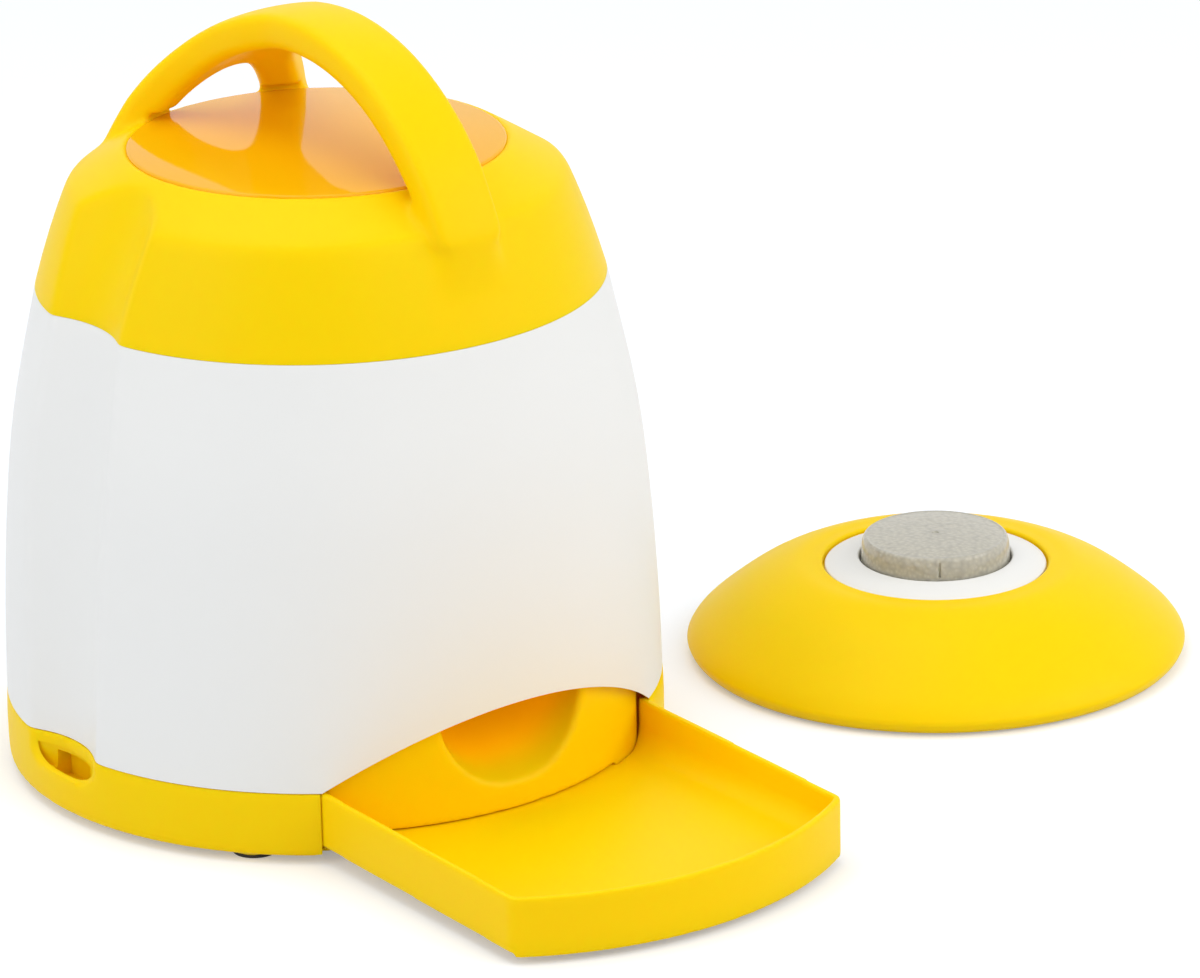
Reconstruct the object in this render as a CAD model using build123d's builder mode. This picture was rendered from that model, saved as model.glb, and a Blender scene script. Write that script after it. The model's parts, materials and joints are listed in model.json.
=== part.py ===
"""Push button treat dispenser with its wireless remote.

Millimetres, +Z up. The origin is on the table under the middle of the dispenser. The tray points to -Y,
and the remote lies to the right of it, at +X.
"""

import os
from math import cos, pi, radians, sin, tan

from build123d import *

os.makedirs("parts", exist_ok=True)

# ---------------------------------------------------------------- driving dimensions
WALL = 2.6  # moulded walls of the casings
GAP = 0.4  # seam between neighbouring casings

# dispenser case, heights and radii of its round outline
BASE_Z = 3.0  # underside of the base pan
FLOOR = 2.4  # thickness of the base floor
RING_Z = 28.3  # top of the yellow ring
BASE_R = 126.2
RING_R = 126.1
SEAM_Z = 187.8  # seam between shell and lid
SHELL_OUTLINE = [(126.1, RING_Z + GAP), (125.2, 60), (122.7, 100), (118.1, 140), (107.9, SEAM_Z)]
LID_OUTLINE = [(107.8, SEAM_Z + GAP), (102.6, 205.2), (97.7, 218.7), (93.7, 228.4)]
WINDOW_R = 71.6
WINDOW_Z = 240.85
WINDOW_T = 2.2
SHOULDER_FILLET = 7.0

# hand recess that runs down each side, as the height, radius and floor depth of its round cut
CHANNEL = [(10, 42, 118.0), (60, 46, 115.8), (120, 50, 110.5), (190, 50, 99.3), (215, 42, 88.6), (250, 34, 73.4)]
LEDGE_Z = 17.5  # where the recess ends in the base
LEDGE_ROUND = 6.0  # between that ledge and the wall of the recess
POCKET = (8.0, 19.5, 8.5)  # pocket in that ledge, which cuts into the wall too
POCKET_X = 117.6
POCKET_Z = 12.5
POCKET_WALL = 2.0

# carry handle: a wishbone cut from a dome
ARCH_Y = -4.5
ARCH_Z = 192.0
ARCH_R = 103.3
ARCH_H = 99.6
STRAP_T = 14.0
STRAP_HALF = 14.6
LEG_OUTER = [(18.0, 22), (25.0, 49), (34.2, 60.5), (62, 88.3)]  # outer edge of a rear leg, from the strap back
LEG_INNER = [(40, 90), (17.0, 67.0), (8.5, 60.6), (0, 58.2)]  # inner edge of a rear leg, forward to the fork
STRAP_ROUND = 3.5
STRAP_UNDER_ROUND = 5.0

# front arch, outlet panel, chute
ARCH_FRONT_R = 122.8
ARCH_FRONT_TOP = 54.0
MOUTH_HALF = 75.4  # half width of the gap in the ring for the tray
PANEL_R = 121.5
PANEL_TOP = 60.0
PANEL_HALF = 71.0
SCOOP_HALF = 32.0
SCOOP_CORNER = 28.0
SCOOP_Z = 20.2
SCOOP_LIP = 1.8
CHUTE_SLOPE = 28.5
CHUTE_JOIN_Y = -99.0
CHUTE_WALL = 2.2
CHUTE_END_Y = -22.0
CHUTE_SCREW_R = 1.6
CHUTE_EAR = (37.0, -46.0)  # middle of the ears that hang it under the dosing floor

# tray
TRAY_HALF = 74.9
TRAY_FRONT = -242.0
TRAY_CORNER_Y = -219.0
TRAY_CORNER_R = 6.0
TRAY_SKIRT_Z = 2.8
TRAY_WALL = 2.8
TRAY_FLOOR_Z = 10.0
TRAY_FLOOR_T = 2.4
TRAY_RIM_REAR = 28.3
TRAY_RIM_FALL = 1.05  # degrees
TRAY_ROUND = 8.0  # between its floor and its side walls
TONGUE_HALF = 52.0
TONGUE_END_Y = -98.0

# hopper and dosing
MOUTH_R = 93.8
FLANGE_R = 96.0
LEDGE_TOP = 172.0  # ledge in the shell on which the hopper hangs
CHAMBER_R = 54.0
CHAMBER_TOP = 116.0
HOPPER_WALL = 2.2
DOSE_Z = 80.0  # underside of the dosing floor
DOSE_T = 2.6
PADDLES = 6
PADDLE_R = 52.8
PADDLE_H = 22.0
DOSE_TOP = DOSE_Z + DOSE_T
DOSE_R = 64.0
DOSE_SCREW_RING = 60.3
DOSE_SCREW_ANGLES = (20, 90, 160, 216, 324)
FLANGE_T = 2.4
SHIELD_Z = 108.4
SHIELD_HALF_ANGLE = 31.0
SHIELD_PEG_R = 1.2
BUSH_R = 6.5
SHAFT_TOP = 104.0
CLIP_Z = 64.4
DROP_IN = 24.0  # inner and outer radius of the drop hole
DROP_OUT = 50.0
DROP_HALF_ANGLE = 24.0

# drive
SHAFT_R = 4.0
RUNNING = 0.05  # radial clearance of shafts in their bearings
MODULE = 0.8
GEAR_TEETH = 50
PINION_TEETH = 15
GEAR_Z = 69.0
GEAR_W = 6.0
MOTOR_X = -(GEAR_TEETH + PINION_TEETH) * MODULE / 2
PLATE_Z = 66.0
PLATE_T = 2.0
GEARBOX_R = 18.0
GEARBOX_H = 16.0
CAN_R = 12.0
CAN_H = 27.0
OUTPUT_R = 2.0
BRACKET_POSTS = [(-45, 12), (-45, -12), (27, 0)]
MOTOR_SCREWS = [(MOTOR_X, 12.5), (MOTOR_X, -12.5)]

# feet, screws and electrics of the dispenser
FOOT_RING = 113.0
FOOT_ANGLES = (40, 140, 220, 320)
FOOT_R = 8.5
FOOT_T = 1.2
COLUMN_RING = 114.5
COLUMN_ANGLES = (28, 152, 208, 332)
CELL_R = 13.1
CELL_L = 50.0
BOX_Y = 62.0
BOX_X = 110.0
BOX_DEPTH = 60.0
BOX_TOP = 37.0
DOOR = (106.0, 56.0)
DOOR_EAR = (16.0, 12.0)
EAR_Y = BOX_Y - DOOR[1] / 2 - DOOR_EAR[1] / 2
EAR_Z = 12.4
BOX_EARS = [(side * (BOX_X / 2 + 4), BOX_Y + row * 18) for side in (-1, 1) for row in (-1, 1)]
BOARD_POSTS = [(side * 34, BOX_Y + 4 + row * 18) for side in (-1, 1) for row in (-1, 1)]
BOARD_CHIPS = [(-8, 68, 12, 12, 1.6), (-26, 54, 8, 5, 1.5), (12, 52, 10, 6, 7), (-28, 76, 5, 8, 6), (0, 84, 22, 5, 6)]
CELL_PITCH = 27.2
CELL_Z = 20.8
SPEAKER_X = 66.0
SPEAKER_R = 23.0
SWITCH_X = -82.0
SWITCH_TRAVEL = 4.0

# remote
REMOTE = (240.7, -70.9)
REMOTE_OUTLINE = [(96.6, 1.2), (98.4, 3.4), (98.7, 7), (92.5, 14.4), (75, 27.8), (58, 35.6), (45.2, 36.8)]
REMOTE_WALL = 2.4
REMOTE_BASE_Z = 2.5
REMOTE_BASE_R = 93.8
CAP_R = 29.5
CAP_TOP = 47.4
RING_INNER = 30.4
RING_TOP = 39.2  # beside the button
RING_EDGE = 36.0  # beside the dome
RING_T = 2.4
WELL_Z = 25.5
BOARD_Z = 17.5
REMOTE_PLANE = Plane(origin=(REMOTE[0], REMOTE[1], 0))
REMOTE_POSTS = (45, 135, 225, 315)  # directions of the screw posts
REMOTE_POST_RING = 78.0
OPENING_R = 44.9  # opening of the dome for the ring
HOLDER_Y = 58.0
REMOTE_DOOR = (54.0, 28.0)
REMOTE_EAR_Y = HOLDER_Y - REMOTE_DOOR[1] / 2 - 3
CAP_LOW = 31.1
STEM_LOW = 28.45
SPRING_R = 9.0
SPRING_H = 16.0
LAMP_X = 18.0
LAMP_R = 2.5
AAA_R = 5.15
AAA_L = 44.5


# ---------------------------------------------------------------- shared forms
def channels(grow, low, high):
    """The two side recesses between two heights, grown sideways by a wall."""
    with BuildPart() as form:
        for side in (-1, 1):
            for z, radius, floor in CHANNEL:
                with BuildSketch(Plane.XY.offset(z)):
                    with Locations((side * (floor + radius), 0)):
                        Circle(radius + grow)
            loft()
        with BuildSketch(Plane.XY.offset(low)):
            Circle(400)
        extrude(amount=high - low, mode=Mode.INTERSECT)
    return form.part


def turned(points, shrink=0.0, tail=()):
    """A round body whose side is a smooth curve through points of radius and height, made smaller by shrink."""
    side = [(r - shrink, z) for r, z in points]
    end = [*tail, (0, (tail[-1] if tail else side[-1])[1])]
    with BuildPart() as form:
        with BuildSketch(Plane.XZ):
            with BuildLine():
                Spline(side)
                Polyline([side[-1], *end, (0, side[0][1]), side[0]])
            make_face()
        revolve(axis=Axis.Z)
    return form.part


def trough(grow, y, height):
    """U-shaped section of the outlet at one depth, grown by a wall, to draw on an upright sketch plane."""
    low = SCOOP_Z - grow + (PANEL_R + y) * tan(radians(CHUTE_SLOPE))
    with Locations((0, low)):
        base = (Align.CENTER, Align.MIN)
        RectangleRounded(2 * (SCOOP_HALF + grow), 120, SCOOP_CORNER + grow, align=base)
        Rectangle(3 * SCOOP_HALF, height, align=base, mode=Mode.INTERSECT)


def toothed(teeth, phase):
    """Spur gear section with straight-sided teeth, the first one at the phase angle."""
    pitch = teeth * MODULE / 2
    root = pitch - 1.15 * MODULE
    tip = pitch + 0.9 * MODULE
    half_root = 0.36 * pi * MODULE
    half_tip = 0.13 * pi * MODULE
    Circle(root)
    with PolarLocations(0, teeth, start_angle=phase):
        Polygon([(root - 0.3, -half_root), (tip, -half_tip), (tip, half_tip), (root - 0.3, half_root)], align=None)


# ---------------------------------------------------------------- lid with its wishbone handle
# the room inside, above the flat web that carries the plug into the hopper
with BuildPart() as lid_room:
    add(turned(LID_OUTLINE, shrink=WALL, tail=[(WINDOW_R, WINDOW_Z - WALL - 0.6)]))
    add(channels(WALL, SEAM_Z - 1, WINDOW_Z + 1), mode=Mode.SUBTRACT)
    with BuildSketch(Plane.XY.offset(SEAM_Z)):
        Circle(RING_R)
    extrude(amount=WALL, mode=Mode.SUBTRACT)

# one strap in front, two legs behind, cut from a thick dome
with BuildPart() as wishbone:
    with BuildSketch(Plane(origin=(0, ARCH_Y, ARCH_Z))):
        Ellipse(ARCH_H, ARCH_R)
        Ellipse(ARCH_H - STRAP_T, ARCH_R - STRAP_T, mode=Mode.SUBTRACT)
        with Locations((ARCH_R, 0)):
            Rectangle(2 * ARCH_R, 3 * ARCH_R, mode=Mode.INTERSECT)
    revolve(axis=Axis((0, 0, ARCH_Z), (0, -1, 0)), revolution_arc=180)
    with BuildSketch(Plane.XY.offset(225)):
        with BuildLine():
            front = Line((0, -110), (STRAP_HALF, -110))
            strap = Line(front @ 1, (STRAP_HALF, 5))
            outer = Spline([strap @ 1, *LEG_OUTER], tangents=[(0, 1), (1, 1)])
            back = Line(outer @ 1, LEG_INNER[0])
            Spline(LEG_INNER, tangents=[(-1, -1), (-1, 0)])
            mirror(about=Plane.YZ)
        make_face()
    extrude(amount=80, mode=Mode.INTERSECT)
    long_edges = wishbone.edges().filter_by(lambda edge: edge.length > 30 and edge.center().Z > 232)
    upper = long_edges.filter_by(lambda edge: abs(edge @ 0.5 - Vector(0, ARCH_Y, ARCH_Z)) > ARCH_R - STRAP_T / 2)
    fillet(upper, STRAP_ROUND)
    under = wishbone.edges().filter_by(lambda edge: edge.length > 60 and edge.center().Z > 232)
    under = under.filter_by(lambda edge: abs(edge @ 0.5 - Vector(0, ARCH_Y, ARCH_Z)) < ARCH_R - STRAP_T / 2 - 4)
    fillet(under, STRAP_UNDER_ROUND)

with BuildPart() as lid_shell:
    add(turned(LID_OUTLINE, tail=[(WINDOW_R, WINDOW_Z)]))
    shoulder = lid_shell.edges().filter_by(GeomType.CIRCLE).group_by(Axis.Z)[1]
    fillet(shoulder, SHOULDER_FILLET)
    add(channels(0, SEAM_Z - 1, WINDOW_Z + 1), mode=Mode.SUBTRACT)
    add(lid_room.part, mode=Mode.SUBTRACT)
    add(wishbone.part)

    # plug into the hopper mouth, with a groove for the seal
    with BuildSketch(Plane.XY.offset(SEAM_Z - 12)):
        Circle(MOUTH_R - 0.8)
    extrude(amount=12 + GAP + 0.2)
    with BuildSketch(Plane.XY.offset(SEAM_Z - 12.5)):
        Circle(MOUTH_R - 3.2)
    extrude(amount=12.5 + GAP + WALL, mode=Mode.SUBTRACT)
    with BuildSketch(Plane.XY.offset(SEAM_Z - 8)):
        Circle(MOUTH_R)
        Circle(MOUTH_R - 1.6, mode=Mode.SUBTRACT)
    extrude(amount=3, mode=Mode.SUBTRACT)

    # collar round the window with its rebate
    with BuildSketch(Plane.XY.offset(WINDOW_Z - 7)):
        Circle(WINDOW_R + 1.8)
    extrude(amount=7 - 0.8)
    with BuildSketch(Plane.XY.offset(WINDOW_Z - 7.5)):
        Circle(WINDOW_R - 4)
    extrude(amount=9, mode=Mode.SUBTRACT)
    with BuildSketch(Plane.XY.offset(WINDOW_Z - WINDOW_T)):
        Circle(WINDOW_R)
    extrude(amount=5, mode=Mode.SUBTRACT)
lid_shell.part.label = "lid_shell"
export_step(lid_shell.part, "parts/lid_shell.step")

with BuildPart() as lid_window:
    with BuildSketch(Plane.XY.offset(WINDOW_Z - WINDOW_T)):
        Circle(WINDOW_R - 0.3)
    extrude(amount=WINDOW_T)
    chamfer(lid_window.edges().group_by(Axis.Z)[-1], 0.4)
lid_window.part.label = "lid_window"
export_step(lid_window.part, "parts/lid_window.step")

with BuildPart() as lid_seal:
    with BuildSketch(Plane.XZ):
        with Locations((MOUTH_R - 1.0, SEAM_Z - 6.5)):
            Rectangle(1.2, 3)
    revolve(axis=Axis.Z)
lid_seal.part.label = "lid_seal"
export_step(lid_seal.part, "parts/lid_seal.step")

# ---------------------------------------------------------------- white body shell
# the room inside the wall, with the ledge for the hopper left out
with BuildPart() as shell_room:
    add(turned(SHELL_OUTLINE, shrink=WALL))
    add(channels(WALL, RING_Z, SEAM_Z), mode=Mode.SUBTRACT)
    with BuildSketch(Plane.XY.offset(LEDGE_TOP - FLOOR)):
        Circle(RING_R)
        Circle(FLANGE_R - 4, mode=Mode.SUBTRACT)
    extrude(amount=FLOOR, mode=Mode.SUBTRACT)

with BuildPart() as body_shell:
    add(turned(SHELL_OUTLINE))
    add(channels(0, RING_Z, SEAM_Z + 1), mode=Mode.SUBTRACT)
    add(shell_room.part, mode=Mode.SUBTRACT)
    # arched opening over the tray
    with BuildSketch(Plane.XZ.offset(90)):
        with Locations((0, ARCH_FRONT_TOP - ARCH_FRONT_R)):
            Circle(ARCH_FRONT_R)
    extrude(amount=60, mode=Mode.SUBTRACT)
    # screw posts on short webs
    with BuildSketch(Plane.XY.offset(RING_Z + GAP)):
        for angle in COLUMN_ANGLES:
            with PolarLocations(COLUMN_RING, 1, start_angle=angle):
                Circle(4.6)
            with PolarLocations(COLUMN_RING + 6, 1, start_angle=angle):
                Rectangle(8, 2)
    extrude(amount=18)
    with BuildSketch(Plane.XY.offset(RING_Z + GAP)):
        for angle in COLUMN_ANGLES:
            with PolarLocations(COLUMN_RING, 1, start_angle=angle):
                Circle(1.5)
    extrude(amount=14, mode=Mode.SUBTRACT)
body_shell.part.label = "body_shell"
export_step(body_shell.part, "parts/body_shell.step")

# ---------------------------------------------------------------- base pan
BASE_OUTLINE = [(BASE_R, BASE_Z), ((BASE_R + RING_R) / 2 + 0.4, (BASE_Z + RING_Z) / 2), (RING_R, RING_Z)]

with BuildPart() as base_room:
    add(turned([(r, z + FLOOR if z == BASE_Z else z) for r, z in BASE_OUTLINE], shrink=WALL))
    add(channels(WALL, LEDGE_Z - FLOOR, RING_Z + 1), mode=Mode.SUBTRACT)
    for side in (-1, 1):
        with BuildSketch(Plane.XY.offset(POCKET_Z - POCKET_WALL)):
            with Locations((side * POCKET_X, 0)):
                Rectangle(POCKET[0] + 2 * POCKET_WALL, POCKET[1] + 2 * POCKET_WALL)
        extrude(amount=POCKET[2] + 2 * POCKET_WALL, mode=Mode.SUBTRACT)

with BuildPart() as base_recess:
    add(channels(0, LEDGE_Z, RING_Z + 1))
    fillet(base_recess.edges().group_by(Axis.Z)[0], LEDGE_ROUND)

with BuildPart() as base_pan:
    add(turned(BASE_OUTLINE))
    fillet(base_pan.edges().group_by(Axis.Z)[0], 1.6)
    add(base_recess.part, mode=Mode.SUBTRACT)
    add(base_room.part, mode=Mode.SUBTRACT)
    # pocket in the ledge of each hand recess
    for side in (-1, 1):
        with BuildSketch(Plane.XY.offset(POCKET_Z)):
            with Locations((side * POCKET_X, 0)):
                Rectangle(POCKET[0], POCKET[1])
        extrude(amount=POCKET[2], mode=Mode.SUBTRACT)
    # gap for the tray, back to the outlet panel
    with BuildSketch(Plane.XY):
        with Locations((0, -PANEL_R)):
            Rectangle(2 * MOUTH_HALF, 80)
        Circle(PANEL_R, mode=Mode.SUBTRACT)
    extrude(amount=RING_Z + 2, mode=Mode.SUBTRACT)
    # screw columns and foot bosses
    with BuildSketch(Plane.XY.offset(BASE_Z + FLOOR)):
        for angle in COLUMN_ANGLES:
            with PolarLocations(COLUMN_RING, 1, start_angle=angle):
                Circle(5.2)
    extrude(amount=RING_Z - BASE_Z - FLOOR)
    with BuildSketch(Plane.XY.offset(FOOT_T)):
        for angle in FOOT_ANGLES:
            with PolarLocations(FOOT_RING, 1, start_angle=angle):
                Circle(FOOT_R + 0.8)
    extrude(amount=BASE_Z - FOOT_T + 1)
    with BuildSketch(Plane.XY):
        for angle in COLUMN_ANGLES:
            with PolarLocations(COLUMN_RING, 1, start_angle=angle):
                Circle(3.4)
    extrude(amount=20, mode=Mode.SUBTRACT)
    with BuildSketch(Plane.XY):
        for angle in COLUMN_ANGLES:
            with PolarLocations(COLUMN_RING, 1, start_angle=angle):
                Circle(1.8)
    extrude(amount=40, mode=Mode.SUBTRACT)
    # battery opening with the ear for its screw, and the boss above that ear
    with BuildSketch(Plane.XY):
        with Locations((0, BOX_Y)):
            Rectangle(DOOR[0] + 0.6, DOOR[1] + 0.6)
        with Locations((0, EAR_Y + 1)):
            Rectangle(DOOR_EAR[0] + 0.6, DOOR_EAR[1] + 2.6)
    extrude(amount=BASE_Z + FLOOR + 1, mode=Mode.SUBTRACT)
    with BuildSketch(Plane.XY.offset(BASE_Z + FLOOR)):
        with Locations((0, EAR_Y - 1)):
            Rectangle(DOOR_EAR[0] + 8, DOOR_EAR[1] - 3)
        with Locations((0, EAR_Y)):
            Circle(1.5, mode=Mode.SUBTRACT)
    extrude(amount=9)
    with BuildSketch(Plane.XY.offset(BASE_Z + FLOOR)):
        with Locations(*BOX_EARS):
            Circle(3.6)
        with Locations((SPEAKER_X, 0)):
            Circle(SPEAKER_R + 2)
            Circle(SPEAKER_R + 0.2, mode=Mode.SUBTRACT)
        with Locations(*BOX_EARS):
            Circle(1.2, mode=Mode.SUBTRACT)
    extrude(amount=EAR_Z - BASE_Z - FLOOR)
    # slots below the speaker and the slot of the power switch
    with BuildSketch(Plane.XY):
        with Locations((SPEAKER_X, 0)):
            with GridLocations(6, 0, 5, 1):
                SlotOverall(26, 2.4, rotation=90)
        with Locations((SWITCH_X, SWITCH_TRAVEL / 2)):
            Rectangle(6.6, 6.6 + SWITCH_TRAVEL)
    extrude(amount=BASE_Z + FLOOR + 1, mode=Mode.SUBTRACT)
base_pan.part.label = "base_pan"
export_step(base_pan.part, "parts/base_pan.step")

with BuildPart() as rubber_feet:
    with BuildSketch(Plane.XY):
        for angle in FOOT_ANGLES:
            with PolarLocations(FOOT_RING, 1, start_angle=angle):
                Circle(FOOT_R)
    extrude(amount=FOOT_T)
rubber_feet.part.label = "rubber_feet"
export_step(rubber_feet.part, "parts/rubber_feet.step")

with BuildPart() as case_screws:
    with BuildSketch(Plane.XY.offset(17.6)):
        for angle in COLUMN_ANGLES:
            with PolarLocations(COLUMN_RING, 1, start_angle=angle):
                Circle(3.0)
    extrude(amount=2.4)
    with BuildSketch(Plane.XY.offset(20)):
        for angle in COLUMN_ANGLES:
            with PolarLocations(COLUMN_RING, 1, start_angle=angle):
                Circle(1.5)
    extrude(amount=20)
case_screws.part.label = "case_screws"
export_step(case_screws.part, "parts/case_screws.step")

# ---------------------------------------------------------------- outlet panel with its scoop, and the chute
SLOPE = Vector(0, cos(radians(CHUTE_SLOPE)), sin(radians(CHUTE_SLOPE)))

with BuildPart() as outlet_panel:
    with BuildSketch(Plane.XY.offset(BASE_Z + FLOOR)):
        Circle(PANEL_R - 0.2)
        Circle(PANEL_R - WALL, mode=Mode.SUBTRACT)
        with Locations((0, -PANEL_R)):
            Rectangle(2 * PANEL_HALF, 80, mode=Mode.INTERSECT)
    extrude(amount=PANEL_TOP - BASE_Z - FLOOR)
    # way in for the tray's tongue
    with BuildSketch(Plane.XZ.offset(80)):
        with Locations((0, TRAY_FLOOR_Z - 2)):
            Rectangle(2 * TONGUE_HALF + 2, 5.2)
    extrude(amount=60, mode=Mode.SUBTRACT)
    # trough behind the scoop
    with BuildSketch(Plane.XZ.offset(-CHUTE_JOIN_Y)):
        trough(CHUTE_WALL, CHUTE_JOIN_Y, 34)
    extrude(amount=40, dir=-SLOPE)
    with BuildSketch(Plane.XY):
        Circle(PANEL_R - 0.2)
    extrude(amount=PANEL_TOP + 10, mode=Mode.INTERSECT)
    with BuildSketch(Plane.XZ.offset(-CHUTE_JOIN_Y - 2)):
        trough(0, CHUTE_JOIN_Y + 2, 90)
    extrude(amount=60, dir=-SLOPE, mode=Mode.SUBTRACT)
    # rounded lip of the scoop on the panel's front face
    front_edges = outlet_panel.edges().filter_by(lambda edge: abs(Vector((edge @ 0.5).X, (edge @ 0.5).Y).length - PANEL_R + 0.2) < 0.05)
    fillet(front_edges.filter_by(lambda edge: abs((edge @ 0.5).X) < SCOOP_HALF + 0.5 and 12 < (edge @ 0.5).Z < 59), SCOOP_LIP)
outlet_panel.part.label = "outlet_panel"
export_step(outlet_panel.part, "parts/outlet_panel.step")

with BuildPart() as chute:
    with BuildSketch(Plane.XZ.offset(-CHUTE_JOIN_Y)):
        trough(CHUTE_WALL, CHUTE_JOIN_Y, 34)
    extrude(amount=(CHUTE_END_Y - CHUTE_JOIN_Y) / SLOPE.Y, dir=SLOPE)
    with BuildSketch(Plane.XZ.offset(-CHUTE_JOIN_Y + 1)):
        trough(0, CHUTE_JOIN_Y - 1, 90)
    extrude(amount=(CHUTE_END_Y - CHUTE_WALL - CHUTE_JOIN_Y + 1) / SLOPE.Y, dir=SLOPE, mode=Mode.SUBTRACT)
    with BuildSketch(Plane.XY.offset(DOSE_Z)):
        Circle(PANEL_R)
    extrude(amount=30, mode=Mode.SUBTRACT)
    # side flanges under the dosing floor
    with BuildSketch(Plane.XY.offset(DOSE_Z - FLANGE_T)):
        for side in (-1, 1):
            with Locations((side * CHUTE_EAR[0], CHUTE_EAR[1])):
                Rectangle(12, 14)
                Circle(CHUTE_SCREW_R, mode=Mode.SUBTRACT)
    extrude(amount=FLANGE_T)
chute.part.label = "chute"
export_step(chute.part, "parts/chute.step")

# ---------------------------------------------------------------- tray
with BuildSketch() as tray_plan:
    with BuildLine():
        ThreePointArc((TRAY_HALF, TRAY_CORNER_Y), (0, TRAY_FRONT), (-TRAY_HALF, TRAY_CORNER_Y))
        Polyline((-TRAY_HALF, TRAY_CORNER_Y), (-TRAY_HALF, -80), (TRAY_HALF, -80), (TRAY_HALF, TRAY_CORNER_Y))
    make_face()
    fillet(tray_plan.vertices().group_by(Axis.Y)[0], TRAY_CORNER_R)

# room above the floor, with wide roundings along the side walls
with BuildPart() as tray_room:
    with BuildSketch(Plane.XY.offset(TRAY_FLOOR_Z)):
        with BuildLine():
            half = TRAY_HALF - TRAY_WALL
            corner = TRAY_CORNER_Y + TRAY_WALL / 2
            ThreePointArc((half, corner), (0, TRAY_FRONT + TRAY_WALL), (-half, corner))
            Polyline((-half, corner), (-half, -80), (half, -80), (half, corner))
        make_face()
    extrude(amount=40)
    fillet(tray_room.edges().filter_by(Axis.Y).group_by(Axis.Z)[0], TRAY_ROUND)
    fillet(tray_room.edges().filter_by(Axis.Z).group_by(Axis.Y)[0], 2)

with BuildPart() as tray:
    add(tray_plan.sketch)
    extrude(amount=TRAY_RIM_REAR)
    # ears that close the gap in the yellow ring
    with BuildSketch():
        with Locations((0, -101.5)):
            RectangleRounded(2 * MOUTH_HALF - 0.6, 8, 1.2)
    extrude(amount=TRAY_RIM_REAR)
    # tray room, and the hollow below its floor
    add(tray_room.part, mode=Mode.SUBTRACT)
    with BuildSketch():
        offset(tray_plan.sketch, -TRAY_WALL)
    extrude(amount=TRAY_FLOOR_Z - TRAY_FLOOR_T, mode=Mode.SUBTRACT)
    with BuildSketch(Plane.XY.offset(-1)):
        Circle(PANEL_R + 0.3)
    extrude(amount=60, mode=Mode.SUBTRACT)
    # falling rim and rising skirt
    with BuildSketch(Plane.YZ.offset(-100)):
        fall = tan(radians(TRAY_RIM_FALL)) * 150
        Polygon([(-95, TRAY_RIM_REAR), (-245, TRAY_RIM_REAR - fall), (-245, 60), (-95, 60)], align=None)
        skirt = [(-80, -1), (-80, 7.0), (TRAY_CORNER_Y, 4.5), (TRAY_CORNER_Y, TRAY_SKIRT_Z), (-250, TRAY_SKIRT_Z), (-250, -1)]
        Polygon(skirt, align=None)
    extrude(amount=200, mode=Mode.SUBTRACT)
    # tongue that slides in under the outlet panel
    with BuildSketch(Plane.XY.offset(TRAY_FLOOR_Z - TRAY_FLOOR_T)):
        with Locations((0, TONGUE_END_Y - 24)):
            Rectangle(2 * TONGUE_HALF, 48)
    extrude(amount=TRAY_FLOOR_T)
tray.part.label = "tray"
export_step(tray.part, "parts/tray.step")

# ---------------------------------------------------------------- hopper, drop shield, dosing floor
with BuildPart() as hopper:
    with BuildSketch(Plane.XZ):
        outer = CHAMBER_R + HOPPER_WALL
        rim = [(FLANGE_R, LEDGE_TOP + 14), (FLANGE_R, LEDGE_TOP), (FLANGE_R - 4.6, LEDGE_TOP), (outer, CHAMBER_TOP - 1)]
        foot = [(outer, DOSE_TOP + FLANGE_T), (DOSE_R, DOSE_TOP + FLANGE_T), (DOSE_R, DOSE_TOP), (CHAMBER_R, DOSE_TOP)]
        inside = [(CHAMBER_R, CHAMBER_TOP), (FLANGE_R - 7.4, LEDGE_TOP + 2), (MOUTH_R, LEDGE_TOP + 2), (MOUTH_R, LEDGE_TOP + 14)]
        Polygon(rim + foot + inside, align=None)
    revolve(axis=Axis.Z)
    with BuildSketch(Plane.XY.offset(DOSE_TOP)):
        for angle in DOSE_SCREW_ANGLES:
            with PolarLocations(DOSE_SCREW_RING, 1, start_angle=angle):
                Circle(1.2)
    extrude(amount=FLANGE_T, mode=Mode.SUBTRACT)
    # holes for the pegs of the drop shield
    for angle in (-110, -70):
        with BuildSketch(Plane(origin=(0, 0, SHIELD_Z), z_dir=(cos(radians(angle)), sin(radians(angle)), 0))):
            Circle(SHIELD_PEG_R)
        extrude(amount=CHAMBER_R + 10, mode=Mode.SUBTRACT)
hopper.part.label = "hopper"
export_step(hopper.part, "parts/hopper.step")

with BuildPart() as drop_shield:
    with BuildSketch(Plane.XY.offset(SHIELD_Z - 1.5)):
        Circle(CHAMBER_R - 0.1)
        Circle(16, mode=Mode.SUBTRACT)
        side = 60 * tan(radians(SHIELD_HALF_ANGLE))
        Polygon([(0, 0), (-side, -60), (side, -60)], align=None, mode=Mode.INTERSECT)
    extrude(amount=3)
    fillet(drop_shield.edges().filter_by(GeomType.LINE).group_by(Axis.Z)[-1], 1.0)
    for angle in (-110, -70):
        with BuildSketch(Plane(origin=(0, 0, SHIELD_Z), z_dir=(cos(radians(angle)), sin(radians(angle)), 0))) as peg:
            Circle(SHIELD_PEG_R)
        extrude(amount=CHAMBER_R + HOPPER_WALL + 1)
    with BuildSketch(Plane.XY.offset(SHIELD_Z - 4)):
        Circle(40)
    extrude(amount=8, mode=Mode.SUBTRACT)
drop_shield.part.label = "drop_shield"
export_step(drop_shield.part, "parts/drop_shield.step")

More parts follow.
